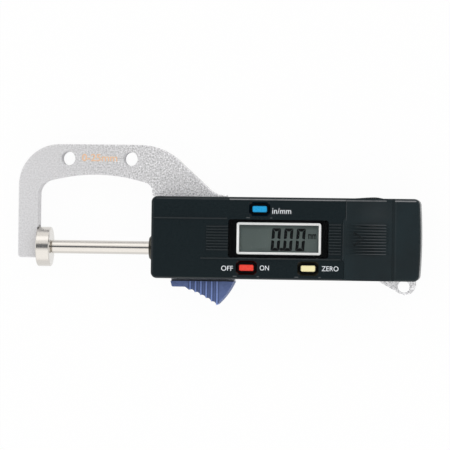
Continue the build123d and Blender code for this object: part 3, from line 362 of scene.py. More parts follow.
class Finish(Tree):
    """One material, with its pattern laid out in millimetres."""

    def __init__(self, name, roughness=0.5, metallic=0.0, level=0.5, centre=(0.0, 0.0, 0.0)):
        self.material = bpy.data.materials.new(name)
        self.material.use_nodes = True
        super().__init__(self.material.node_tree)
        self.shader = self.tree.nodes["Principled BSDF"]
        self.set("Roughness", roughness)
        self.set("Metallic", metallic)
        self.set("Specular IOR Level", level)
        inputs = {
            "Vector": self.add("TexCoord").outputs["Object"],
            "Location": [-value / MM for value in centre],
            "Scale": (1 / MM,) * 3,
        }
        self.place = self.add("Mapping", inputs).outputs[0]

    def set(self, label, value):
        """Feed one of the shader's inputs."""
        self.feed(self.shader.inputs[label], value)

    def spread(self, mask, label, low, high):
        """Drive one of the shader's inputs between two limits by a mask."""
        self.set(label, self.remap(mask, 0.0, 1.0, low, high))

    def tint(self, colour, amount, size=0.15):
        """Colour the surface with a slow drift of tone, and give back that colour."""
        tone = self.add_group(tone_drift, Vector=self.place, Colour=colour, Amount=amount, Size=size)
        self.set("Base Color", tone["Colour"])
        return tone["Colour"]

    def bump(self, height, strength, depth):
        """Raise the surface by a height, to a depth in millimetres."""
        node = self.add("Bump", {"Height": height, "Strength": strength, "Distance": depth * MM})
        self.set("Normal", node.outputs[0])

    def axes(self):
        """The pattern's place as X, Y and Z."""
        return self.add("SeparateXYZ", {0: self.place}).outputs

    def paint_highlight(self, along, across, place, reach, start, stop, strength):
        """The mask of one painted highlight line: where it lies across, its half width, its ends and its
        strength.
        """
        ends = {"Start": start, "Stop": stop}
        line = {"Along": along, "Across": across, "Place": place, "Reach": reach, **ends}
        return self.add_group(painted_highlight_line, Strength=strength, **line)["Mask"]

    def let_light_through(self):
        """Let the rays that carry light pass straight on, so that what lies behind glass is lit."""
        path = self.add("LightPath").outputs
        lit = self.calculate("MAXIMUM", path["Is Shadow Ray"], path["Is Diffuse Ray"])
        gap = self.add("BsdfTransparent").outputs[0]
        mix = self.add("MixShader", {0: lit, 1: self.shader.outputs[0], 2: gap})
        self.feed(self.tree.nodes["Material Output"].inputs["Surface"], mix.outputs[0])


def moulded(name, colour, roughness=0.45, grain=6.0, depth=0.02, drift=0.08, level=0.5, size=0.15):
    """A moulded plastic with a fine grain and a slow drift of tone: its finish and that tone."""
    finish = Finish(name, roughness, level=level)
    tone = finish.tint(colour, drift, size)
    texture = finish.add_group(mould_grain, Vector=finish.place, Size=grain)
    finish.spread(texture["Peaks"], "Roughness", roughness - 0.04, roughness + 0.06)
    finish.bump(texture["Height"], 0.6, depth)
    return finish, tone


def plastic(*details):
    """The material of a moulded plastic."""
    return moulded(*details)[0].material


def steel(name, colour, roughness, lines=30.0, depth=0.002, spread=0.06):
    """A turned or ground steel with tool marks round the measuring axis."""
    low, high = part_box("spindle")
    centre = (low + high) / 2
    finish = Finish(name, roughness, 1.0, centre=(0.0, centre.y, centre.z))
    finish.tint(colour, 0.06, 0.4)
    marks = finish.add_group(tool_marks, Vector=finish.place, Lines=lines)
    finish.spread(marks["Mask"], "Roughness", roughness - spread / 2, roughness + spread / 2)
    finish.bump(marks["Height"], 0.5, depth)
    return finish.material


def printed_ink(name, colour):
    """Printed ink with a slightly uneven tone."""
    finish = Finish(name)
    finish.tint(colour, 0.12, 2.0)
    return finish.material


def dress(material, *nodes):
    """Give nodes of the frame their material."""
    for node in nodes:
        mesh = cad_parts[node].data
        mesh.materials.clear()
        mesh.materials.append(material)


# Making pieces


def finish_piece(name, bm, material, body, replaced=()):
    """Turn a bmesh into a named piece that rides on a body, with its place in its vertices."""
    mesh = bpy.data.meshes.new(name)
    bm.to_mesh(mesh)
    bm.free()
    mesh.materials.append(material)
    piece = bpy.data.objects.new(name, mesh)
    bpy.context.scene.collection.objects.link(piece)
    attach(piece, body)
    if replaced:
        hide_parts(*replaced)
    return piece


def fit_text(words, left, right, foot, height, z, thickness, bold=0.0):
    """Words as a mesh on a face, drawn out between their left and right ends."""
    curve = bpy.data.curves.new(words, "FONT")
    curve.body = words
    curve.size = height * 1.37
    curve.offset = bold
    curve.extrude = thickness / 2
    holder = bpy.data.objects.new(words, curve)
    bpy.context.scene.collection.objects.link(holder)
    bpy.context.view_layer.update()
    mesh = bpy.data.meshes.new_from_object(holder)
    bpy.data.objects.remove(holder)
    low = Vector([min(vertex.co[axis] for vertex in mesh.vertices) for axis in range(3)])
    mesh.transform(Matrix.Translation(-low))
    share = (right - left) / max(vertex.co.x for vertex in mesh.vertices)
    mesh.transform(Matrix.Translation((left, foot, z)) @ Matrix.Diagonal((share, 1.0, 1.0, 1.0)))
    return mesh


def print_words(name, meshes, material):
    """Join meshes of words into one piece on the gauge's body."""
    bm = bmesh.new()
    for mesh in meshes:
        bm.from_mesh(mesh)
        bpy.data.meshes.remove(mesh)
    bmesh.ops.remove_doubles(bm, verts=bm.verts, dist=0.0001 * MM)
    finish_piece(name, bm, material, BODY)


# One operator for each piece or group of like pieces


class GAUGE_OT_casting(Operator):
    """Silver hammered paint on the frame casting"""

    bl_idname = "gauge.casting"
    bl_label = "Casting"

    def execute(self, context):
        finish = Finish("hammered_silver", 0.42, 0.12, 0.3)
        x, y = finish.axes()[:2]
        # Painted light: the paint is made lighter away from the arch's middle and beside the housing,
        # lifting the shade that falls there
        from_arch = finish.calculate("ABSOLUTE", finish.calculate("SUBTRACT", x, ARCH_MIDDLE_X))
        beside = finish.product(finish.remap(x, *PAINTED_LIGHT_HOUSING_X), finish.remap(y, *PAINTED_LIGHT_HOUSING_Y))
        painted_light_tone = finish.calculate("MULTIPLY_ADD", from_arch, 0.0028, 0.94)
        painted_light_tone = finish.calculate("MULTIPLY_ADD", beside, 0.3, painted_light_tone)
        paint = finish.scale(context.scene.gauge_finishes.casting, painted_light_tone)
        finish.tint(paint, finish.remap(x, *SPECKLE_X, 0.5, 2.2), 1.9)
        warp = finish.noise(finish.place, 0.5, 1.0)["Color"]
        inputs = {0: warp, 1: (1.5, 1.5, 1.5), 2: finish.place}
        bend = finish.add("VectorMath", inputs, operation="MULTIPLY_ADD").outputs[0]
        inputs = {"Vector": bend, "Scale": 1.7, "Smoothness": 0.6}
        cells = finish.add("TexVoronoi", inputs, feature="SMOOTH_F1").outputs["Distance"]
        finish.spread(cells, "Roughness", 0.36, 0.5)
        finish.bump(cells, 0.35, -0.035)
        dress(finish.material, "frame")
        return {"FINISHED"}


class GAUGE_OT_measuring_line(Operator):
    """Anvil, spindle, bushes and guide rod"""

    bl_idname = "gauge.measuring_line"
    bl_label = "Measuring line"

    def execute(self, context):
        colours = context.scene.gauge_finishes
        dress(steel("turned_anvil", colours.steel, 0.2, 12.0, 0.004, 0.1), "anvil")
        dress(steel("ground_spindle", colours.steel, 0.13, 40.0), "spindle", "guide_rod")
        black = steel("black_bush", colours.black_steel, 0.3, 14.0, 0.004, 0.1)
        dress(black, "front_bush", "rear_bush")
        return {"FINISHED"}


class GAUGE_OT_mouldings(Operator):
    """Black housing, covers and inner mouldings"""

    bl_idname = "gauge.mouldings"
    bl_label = "Mouldings"

    def execute(self, context):
        colours = context.scene.gauge_finishes
        dress(plastic("black_moulding", colours.housing, *BLACK_DETAIL), "rear_cover", "port_cover")
        dress(self.make_housing(colours), "front_housing")
        # Recesses get a smoother finish and painted shade
        self.polish_and_shade_recesses(plastic("polished_shaded_moulding", colours.recess, 0.2, 9.0, 0.002, 0.1, 0.22))
        dress(self.make_cover(colours), "battery_cover")
        dress(plastic("grey_moulding", colours.carriage, 0.5), "carriage")
        return {"FINISHED"}

    def make_housing(self, colours):
        """Black moulding, with painted highlights on its raised lines, its outer edges and beside its
        buttons' craters.
        """
        finish, tone = moulded("housing_moulding", colours.housing, *BLACK_DETAIL)
        x, y, z = finish.axes()
        low, high = (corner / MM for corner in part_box("front_housing"))
        cover_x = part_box("battery_cover")[0].x / MM
        begin_x = low.x + CORNER
        shade_x = low.x + SHADED_EDGE
        top_y = high.y - HIGHLIGHT_INSET
        # Painted highlights on the raised lines' crests and along the top, left and bottom edges; the top
        # edge's line is weaker where the arch's shoulder shades it
        crest_highlight = finish.calculate("GREATER_THAN", z, high.z - RIB_RISE / 2)
        masks = [
            finish.product(crest_highlight, 0.11),
            finish.paint_highlight(x, y, top_y, 0.2, shade_x, cover_x + 1.0, 1.15),
            finish.paint_highlight(x, y, top_y, 0.18, begin_x, shade_x, 0.16),
            finish.paint_highlight(y, x, low.x + HIGHLIGHT_INSET - 0.2, 0.2, low.y + 1.8, high.y - 1.8, 0.08),
            finish.paint_highlight(x, y, low.y + 0.25, 0.16, begin_x, cover_x, 0.12),
        ]
        # Painted highlights along the lower rim of each button's crater, at both corners
        for node, strength in zip(BUTTONS, (0.4, 0.45, 0.45)):
            left, right = (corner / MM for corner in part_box(node))
            foot = left.y - CRATER_MARGIN - 0.15
            begin = left.x - CRATER_MARGIN - 0.3
            stop = right.x + CRATER_MARGIN + 0.1
            masks.append(finish.paint_highlight(x, y, foot, 0.15, begin, left.x - 0.2, strength))
            masks.append(finish.paint_highlight(x, y, foot, 0.15, right.x + 0.5, stop, strength))
        return self.blend_painted_highlights(finish, tone, masks, colours)

    def make_cover(self, colours):
        """Black moulding with painted highlights on its ribs and edges, and a painted sheen spot where the
        thumb goes.
        """
        finish, tone = moulded("cover_moulding", colours.cover, 0.36, 5.0, 0.008, 1.2, 0.4, 0.09)
        x, y = finish.axes()[:2]
        low, high = (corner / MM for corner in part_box("battery_cover"))
        top_y = high.y - HIGHLIGHT_INSET
        # Painted highlights on the ribs' crests, growing towards the tail, a painted sheen spot, and painted
        # highlight lines along the top edge, the left seams and the groove
        fold = finish.calculate("PINGPONG", finish.calculate("SUBTRACT", y, RIB_SHIFT), RIB_PITCH / 2)
        crest_highlight = finish.calculate("LESS_THAN", fold, RIB_HALF_WIDTH)
        ribbed = finish.calculate("LESS_THAN", finish.calculate("ABSOLUTE", y), RIB_FIELD_HALF)
        ended = finish.calculate("LESS_THAN", x, RIB_FIELD_END)
        grown = finish.calculate("MINIMUM", finish.calculate("MULTIPLY_ADD", x, 0.13, -2.85), 1.0)
        ribs = finish.product(crest_highlight, ribbed, ended, grown, 0.26)
        across = finish.product(finish.calculate("SUBTRACT", x, SHEEN_PATCH_X), 0.14)
        up = finish.product(finish.calculate("SUBTRACT", y, SHEEN_PATCH_Y), 0.17)
        squares = finish.calculate("MULTIPLY_ADD", across, across, finish.product(up, up))
        sheen_spot = finish.calculate("SUBTRACT", 1.0, finish.calculate("SQRT", squares))
        masks = [
            finish.calculate("MAXIMUM", ribs, 0.0),
            finish.product(finish.calculate("MAXIMUM", sheen_spot, 0.0), 0.05),
            finish.paint_highlight(x, y, top_y, 0.2, low.x, RIB_FIELD_END, 0.6),
            finish.paint_highlight(x, y, top_y, 0.2, GROOVE_X, high.x - CORNER, 1.1),
            finish.paint_highlight(y, x, low.x + 1.15, 0.13, 6.2, 12.6, 0.14),
            finish.paint_highlight(y, x, low.x + 0.2, 0.13, -7.0, 5.4, 0.08),
            finish.paint_highlight(y, x, GROOVE_X + 0.3, 0.14, low.y + 1.0, high.y - 1.0, 0.05),
        ]
        return self.blend_painted_highlights(finish, tone, masks, colours)

    def blend_painted_highlights(self, finish, tone, masks, colours):
        """Lay the painted highlight colour over the moulding's own tone, by the strongest of the masks."""
        strongest = masks[0]
        for mask in masks[1:]:
            strongest = finish.calculate("MAXIMUM", strongest, mask)
        finish.set("Base Color", finish.blend(strongest, tone, colours.painted_highlight))
        return finish.material

    def polish_and_shade_recesses(self, material):
        """Give the smooth recesses round the buttons and under the window their own smoother finish, whose
        darker colour is painted shade.
        """
        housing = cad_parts["front_housing"].data
        housing.materials.append(material)
        skin = 0.05 * MM
        face_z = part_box("display_window")[1].z - skin
        areas = [(*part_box("display_window"), 0.2 * MM, 0.2 * MM)]
        areas += [(*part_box(node), 0.7 * MM, 0.9 * MM) for node in BUTTONS]
        for polygon in housing.polygons:
            x, y, z = polygon.center
            for low, high, side, end in areas:
                inside = low.x - side < x < high.x + side and low.y - end < y < high.y + end
                if inside and low.z - skin < z < face_z:
                    polygon.material_index = 1


class GAUGE_OT_trigger(Operator):
    """Blue thumb trigger"""
    # Blue thumb trigger, with painted shade in its grooves and painted highlights on its ridges

    bl_idname = "gauge.trigger"
    bl_label = "Thumb trigger"

    def execute(self, context):
        colours = context.scene.gauge_finishes
        finish, tone = moulded("blue_trigger_moulding", colours.trigger, 0.55, 3.0, 0.02, 0.45, 0.12, 0.7)
        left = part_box("thumb_trigger")[0].x / MM
        from_first = finish.calculate("ADD", finish.axes()["X"], -left - colours.ridge_start / MM)
        turns = finish.calculate("DIVIDE", from_first, colours.ridge_pitch / MM)
        begun = finish.calculate("GREATER_THAN", turns, -0.4)
        going = finish.calculate("LESS_THAN", turns, RIDGE_COUNT - 0.6)
        fold = finish.calculate("PINGPONG", turns, 0.5)
        from_groove = finish.calculate("ABSOLUTE", finish.calculate("SUBTRACT", fold, 0.3))
        groove = finish.calculate("LESS_THAN", from_groove, 0.14)
        ridge = finish.calculate("LESS_THAN", fold, 0.11)
        # Painted shade darkens the grooves between the ridges, and a painted highlight lightens each ridge
        for painted_light_band, painted_light_factor in ((groove, 0.68), (ridge, 1.95)):
            colour = [channel * painted_light_factor for channel in colours.trigger]
            tone = finish.blend(finish.product(painted_light_band, begun, going), tone, colour)
        finish.set("Base Color", tone)
        dress(finish.material, "thumb_trigger")
        return {"FINISHED"}


class GAUGE_OT_buttons(Operator):
    """Three coloured buttons and their switches"""

    bl_idname = "gauge.buttons"
    bl_label = "Buttons"

    def execute(self, context):
        colours = context.scene.gauge_finishes
        for button in BUTTONS:
            dress(plastic(button + "_moulding", getattr(colours, button), 0.3, 3.0, 0.008, 0.05), button)
        switch = plastic("switch_moulding", colours.switch, 0.4)
        dress(switch, "unit_switch", "power_switch", "zero_switch", "data_connector")
        return {"FINISHED"}


class GAUGE_OT_display(Operator):
    """Window, white frame, display glass and connector strips"""

    bl_idname = "gauge.display"
    bl_label = "Display"

    def execute(self, context):
        colours = context.scene.gauge_finishes
        dress(self.make_window(colours.window), "display_window")
        dress(plastic("white_moulding", colours.rim, 0.4, 4.0, 0.006, 0.04), "lcd_frame")
        dress(self.make_ground(colours.display), "lcd_panel")
        dress(self.make_rubber(), "upper_connector_strip", "lower_connector_strip")
        return {"FINISHED"}

    def make_window(self, colour):
        """Clear plastic with a faint smear."""
        finish = Finish("clear_window", 0.02)
        finish.set("Base Color", colour)
        finish.set("Transmission Weight", 1.0)
        finish.set("IOR", 1.35)
        finish.spread(finish.noise(finish.place, 0.35, 3.0)["Fac"], "Roughness", 0.0, 0.03)
        finish.let_light_through()
        return finish.material

    def make_ground(self, colour):
        """The display's ground, with painted shade darkening it towards the white frame and most of all at
        the top.
        """
        finish = Finish("display_ground", 0.25)
        tone = finish.tint(colour, 0.3, 0.12)
        low, high = (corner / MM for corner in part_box("lcd_frame"))
        middle = (low + high) / 2
        x, y = finish.axes()[:2]
        from_middle = finish.calculate("ABSOLUTE", finish.calculate("SUBTRACT", x, middle.x))
        to_side = finish.calculate("SUBTRACT", (high.x - low.x) / 2, from_middle)
        to_top = finish.calculate("SUBTRACT", finish.calculate("SUBTRACT", high.y, y), 0.5)
        nearest = finish.calculate("MINIMUM", to_side, to_top)
        # Painted shade near the frame's sides and top, where the frame shades the ground
        painted_shade = [channel * 0.3 for channel in colour]
        finish.set("Base Color", finish.blend(finish.remap(nearest, 1.6, 3.2, 0.75, 0.0), tone, painted_shade))
        return finish.material

    def make_rubber(self):
        """Rubber strips with a conducting layer in each pitch."""
        finish = Finish("zebra_rubber", 0.7)
        bands = finish.add("TexWave", {"Vector": finish.place, "Scale": 3.0}, bands_direction="X")
        stops = ((0.0, (0.02, 0.02, 0.022)), (0.5, (0.35, 0.33, 0.3)))
        finish.set("Base Color", finish.ramp(bands.outputs["Fac"], *stops, interpolation="CONSTANT"))
        return finish.material


class GAUGE_OT_figures(Operator):
    """The display's slanted figures and its unit sign"""

    bl_idname = "gauge.figures"
    bl_label = "Display figures"

    def execute(self, context):
        marks = context.scene.gauge_marks
        finish = Finish("display_segment", 0.6, level=0.05)
        finish.tint(marks.segment_colour, 0.2, 0.5)
        low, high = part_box("lcd_panel")
        middle_x = (low.x + high.x) / 2
        middle_y = (low.y + high.y) / 2
        x = middle_x + FIRST_DIGIT[0] * MM
        y = middle_y + FIRST_DIGIT[1] * MM
        bm = bmesh.new()
        for index in range(3):
            self.add_digit(bm, marks, x + index * marks.digit_pitch, y, high.z)
        width = marks.segment_width
        dot_y = y - marks.digit_height / 2 + width / 2
        dot = Matrix.Translation((x + DOT_SHIFT * MM, dot_y, high.z))
        self.add_bar(bm, width, width, (0.0, 0.0), dot)
        raised = bmesh.ops.extrude_face_region(bm, geom=bm.faces[:])["geom"]
        tops = [item for item in raised if isinstance(item, bmesh.types.BMVert)]
        bmesh.ops.translate(bm, verts=tops, vec=(0, 0, marks.ink_thickness))
        bmesh.ops.recalc_face_normals(bm, faces=bm.faces[:])
        finish_piece("display_figures", bm, finish.material, BODY)
        left, right, foot, height = (value * MM for value in UNIT_SIGN)
        place = (middle_x + left, middle_x + right, middle_y + foot, height)
        sign = fit_text("mm", *place, high.z, marks.ink_thickness, 0.08 * MM)
        print_words("display_unit", [sign], finish.material)
        return {"FINISHED"}

    def add_bar(self, bm, length, width, cuts, move):
        """One bar, its inner side shorter by a cut at each end, laid where the matrix says."""
        before = set(bm.verts)
        grid = bmesh.ops.create_grid(bm, x_segments=1, y_segments=1, size=0.5)["verts"]
        bmesh.ops.scale(bm, verts=grid, vec=(length, width, 1.0))
        for side, cut in zip((-1, 1), cuts):
            inner = [vertex for vertex in grid if vertex.co.y < 0 and vertex.co.x * side > 0]
            bmesh.ops.translate(bm, verts=inner, vec=(-side * cut, 0, 0))
        corner = width * 0.18
        bmesh.ops.bevel(
            bm, geom=grid, offset=corner, affect="VERTICES", segments=1, profile=0.5, material=-1
        )
        points = [vertex for vertex in bm.verts if vertex not in before]
        bmesh.ops.transform(bm, matrix=move, verts=points)

    def add_digit(self, bm, marks, x, y, z):
        """A nought of six mitred bars, slanted about its middle."""
        width = marks.segment_width
        half_wide = marks.digit_width / 2
        half_high = marks.digit_height / 2
        column = half_high - DIGIT_JOINT - DIGIT_WAIST
        slant = Matrix.Identity(4)
        slant[0][1] = DIGIT_SLANT
        place = Matrix.Translation((x, y, z)) @ slant
        level = Matrix.Translation((0, half_high - width / 2, 0))
        middle = Matrix.Translation((half_wide - width / 2, DIGIT_WAIST + column / 2, 0))
        upright = Matrix.Rotation(-math.pi / 2, 4, "Z")
        for side in (-1, 1):
            move = place @ Matrix.Diagonal((1, side, 1, 1)) @ level
            self.add_bar(bm, 2 * (half_wide - DIGIT_JOINT), width, (width, width), move)
            for end in (-1, 1):
                move = place @ Matrix.Diagonal((end, side, 1, 1)) @ middle @ upright
                self.add_bar(bm, column, width, (width, 0.3 * width), move)


class GAUGE_OT_labels(Operator):
    """White words beside the buttons"""

    bl_idname = "gauge.labels"
    bl_label = "Labels"

    def execute(self, context):
        marks = context.scene.gauge_marks
        face_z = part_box("display_window")[1].z
        meshes = []
        for words, (left, right, foot, share) in LABELS.items():
            place = (left * MM, right * MM, foot * MM, marks.label_height * share)
            meshes.append(fit_text(words, *place, face_z, marks.ink_thickness, -0.01 * MM))
        print_words("face_labels", meshes, printed_ink("white_ink", marks.ink_colour))
        return {"FINISHED"}


class GAUGE_OT_arch_words(Operator):
    """The range printed on the arch"""

    bl_idname = "gauge.arch_words"
    bl_label = "Arch words"

    def execute(self, context):
        marks = context.scene.gauge_marks
        place = [value * MM for value in (*ARCH_PLACE, ARCH_FACE_Z)]
        mesh = fit_text(marks.arch_words, *place, marks.ink_thickness, 0.05 * MM)
        print_words("arch_words", [mesh], printed_ink("orange_ink", marks.arch_colour))
        return {"FINISHED"}


class GAUGE_OT_return_spring(Operator):
    """The coiled return spring on its guide rod"""

    bl_idname = "gauge.return_spring"
    bl_label = "Return spring"

    def execute(self, context):
        fasteners = context.scene.gauge_fasteners
        low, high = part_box("return_spring")
        middle_y = (low.y + high.y) / 2
        middle_z = (low.z + high.z) / 2
        wire = fasteners.spring_wire / 2
        coil = (high.z - low.z) / 2 - wire
        turns = fasteners.spring_turns
        steps = 20 * turns
        bm = bmesh.new()
        ring = bmesh.ops.create_circle(bm, segments=8, radius=wire, cap_ends=False)["verts"]
        start = Matrix.Translation((low.x + wire, middle_y + coil, middle_z))
        bmesh.ops.transform(bm, matrix=start @ Matrix.Rotation(math.pi, 4, "X"), verts=ring)
        bmesh.ops.spin(
            bm,
            geom=bm.verts[:] + bm.edges[:],
            cent=(low.x, middle_y, middle_z),
            axis=(1, 0, 0),
            dvec=((high.x - low.x - 2 * wire) / steps, 0, 0),
            angle=2 * math.pi * turns,
            steps=steps,
            use_duplicate=False,
        )
        bmesh.ops.holes_fill(bm, edges=[edge for edge in bm.edges if edge.is_boundary], sides=0)
        bmesh.ops.recalc_face_normals(bm, faces=bm.faces[:])
        material = steel("spring_wire", context.scene.gauge_finishes.steel, 0.28)
        spring = finish_piece("return_spring_coil", bm, material, BODY, ["return_spring"])
        for polygon in spring.data.polygons:
            polygon.use_smooth = True
        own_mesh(spring)
        return {"FINISHED"}


class GAUGE_OT_screws(Operator):
    """Cross-recessed screws with cut threads"""

    bl_idname = "gauge.screws"
    bl_label = "Screws"

    def execute(self, context):
        plated = steel("plated_screw", context.scene.gauge_finishes.steel, 0.25)
        pitch = context.scene.gauge_fasteners.thread_pitch
        for kind, body, head_height, shank_radius in (
            ("cover_screw", BODY, 0.9 * MM, 1.0 * MM),
            ("board_screw", BODY, 0.5 * MM, 0.8 * MM),
            ("trigger_screw", SLIDER, 1.0 * MM, 0.8 * MM),
        ):
            self.make_set(kind, plated, body, pitch, head_height, shank_radius)
        dress(plated, "spindle_set_screw")
        return {"FINISHED"}

    def make_set(self, kind, material, body, pitch, head_height, shank_radius):
        """Put a threaded screw in the place of each plain one."""
        node = kind + "s"
        low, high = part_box(node)
        bm = bmesh.new()
        for centre, radius in self.find_heads(node, low.z):
            before = set(bm.verts)
            self.add_screw(bm, radius, head_height, shank_radius, high.z - low.z, pitch)
            points = [vertex for vertex in bm.verts if vertex not in before]
            bmesh.ops.translate(bm, verts=points, vec=centre)
        bmesh.ops.recalc_face_normals(bm, faces=bm.faces[:])
        finish_piece(kind + "_set", bm, material, body, [node])

    def find_heads(self, node, foot_z):
        """Where the plain screws' heads are: the middle of the foot, and the radius."""
        source = bmesh.new()
        source.from_mesh(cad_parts[node].data)
        bmesh.ops.remove_doubles(source, verts=source.verts, dist=0.001 * MM)
        waiting = set(source.verts)
        heads = []
        while waiting:
            screw = {waiting.pop()}
            reached = screw
            while reached:
                reached = {edge.other_vert(vertex) for vertex in reached for edge in vertex.link_edges}
                reached = reached - screw
                screw = screw | reached
            waiting -= screw
            xs, ys = ([vertex.co[axis] for vertex in screw] for axis in (0, 1))
            centre = ((min(xs) + max(xs)) / 2, (min(ys) + max(ys)) / 2, foot_z)
            heads.append((centre, (max(xs) - min(xs)) / 2))
        source.free()
        return sorted(heads)

    def add_screw(self, bm, head_radius, head_height, shank_radius, length, pitch):
        """One screw that stands on its head at the origin."""
        recess = head_radius * 0.62
        edge = head_radius * 0.08
        root = shank_radius - 0.3 * pitch
        tip = length - shank_radius * 0.8
        profile = [(recess, 0), (head_radius - edge, 0), (head_radius, edge), (head_radius, head_height)]
        profile += [(root, head_height)]
        for turn in range(int((tip - head_height) / pitch)):
            level = head_height + (turn + 0.5) * pitch
            profile += [(shank_radius, level), (root, level + 0.5 * pitch)]
        profile += [(0.0, length)]
        before = set(bm.verts)
        line = [bm.verts.new((radius, 0.0, level)) for radius, level in profile]
        edges = [bm.edges.new(pair) for pair in zip(line, line[1:])]
        bmesh.ops.spin(
            bm,
            geom=line + edges,
            cent=(0, 0, 0),
            axis=(0, 0, 1),
            angle=2 * math.pi,
            steps=24,
            use_merge=True,
            use_duplicate=False,
        )
        turned = [vertex for vertex in bm.verts if vertex not in before]
        bmesh.ops.remove_doubles(bm, verts=turned, dist=0.0005 * MM)
        self.add_recess(bm, recess, head_height * 0.6)

    def add_recess(self, bm, reach, depth):
        """A cross-shaped recess in the middle of the head."""
        rim = [edge for edge in bm.edges if edge.is_boundary]
        rim = [edge for edge in rim if max(v.co.z for v in edge.verts) < 0.001 * MM]
        rim = [edge for edge in rim if max(v.co.xy.length for v in edge.verts) < reach * 1.01]
        grid = bmesh.ops.create_grid(bm, x_segments=3, y_segments=3, size=reach * 0.8)["verts"]
        faces = {face for vertex in grid for face in vertex.link_faces}
        corners = [face for face in faces if min(map(abs, face.calc_center_median().xy)) > reach * 0.2]
        bmesh.ops.delete(bm, geom=corners, context="FACES")
        floor = [vertex for vertex in grid if vertex.is_valid]
        bmesh.ops.translate(bm, verts=floor, vec=(0, 0, depth))
        border = [edge for edge in {e for v in floor for e in v.link_edges} if edge.is_boundary]
        walls = bmesh.ops.extrude_edge_only(bm, edges=border)["geom"]
        tops = [item for item in walls if isinstance(item, bmesh.types.BMVert)]
        bmesh.ops.translate(bm, verts=tops, vec=(0, 0, -depth))
        lip = [item for item in walls if isinstance(item, bmesh.types.BMEdge) and item.is_boundary]
        bmesh.ops.bridge_loops(bm, edges=rim + lip)


class GAUGE_OT_inner_parts(Operator):
    """Board, chip, cell, contacts and scale strip"""

    bl_idname = "gauge.inner_parts"
    bl_label = "Inner parts"

    def execute(self, context):
        colours = context.scene.gauge_finishes
        board = Finish("solder_mask", 0.3)
        board.tint(colours.board, 0.35, 0.5)
        dress(board.material, "circuit_board")
        dress(plastic("chip_moulding", colours.chip, 0.5, 8.0, 0.01), "controller_chip")
        strip = Finish("scale_copper", 0.35)
        bars = {"Color1": colours.brass, "Color2": colours.brass, "Mortar": (0.1, 0.06, 0.02), "Scale": 0.4}
        strip.set("Base Color", strip.add("TexBrick", {"Vector": strip.place, **bars}).outputs["Color"])
        dress(strip.material, "scale_strip")
        contact = steel("plated_contact", colours.brass, 0.3)
        dress(contact, "battery_minus_contact", "battery_plus_contact")
        dress(steel("cell_can", colours.steel, 0.22, 20.0), "battery")
        self.add_contacts(contact)
        self.add_sign(printed_ink("cell_sign_ink", (0.05, 0.05, 0.055)))
        return {"FINISHED"}

    def add_contacts(self, material):
        """Plated contacts in a row on the data connector's open side."""
        low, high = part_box("data_connector")
        pitch = (high.x - low.x) / CONTACT_COUNT
        bm = bmesh.new()
        for index in range(CONTACT_COUNT):
            pad = bmesh.ops.create_cube(bm, size=1.0)["verts"]
            bmesh.ops.scale(bm, verts=pad, vec=(pitch * 0.4, 0.1 * MM, (high.z - low.z) * 0.7))
            place = (low.x + (index + 0.5) * pitch, high.y, (low.z + high.z) / 2)
            bmesh.ops.translate(bm, verts=pad, vec=place)
        finish_piece("connector_contacts", bm, material, BODY)

    def add_sign(self, material):
        """The plus sign on the cell, beside the contact that crosses it."""
        low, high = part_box("battery")
        middle = (low + high) / 2
        size = 1.8 * MM
        left = middle.x - size / 2
        foot = middle.y + (high.y - low.y) * 0.2
        sign = fit_text("+", left, left + size, foot, size * 1.4, high.z, 0.02 * MM, 0.04 * MM)
        print_words("cell_sign", [sign], material)


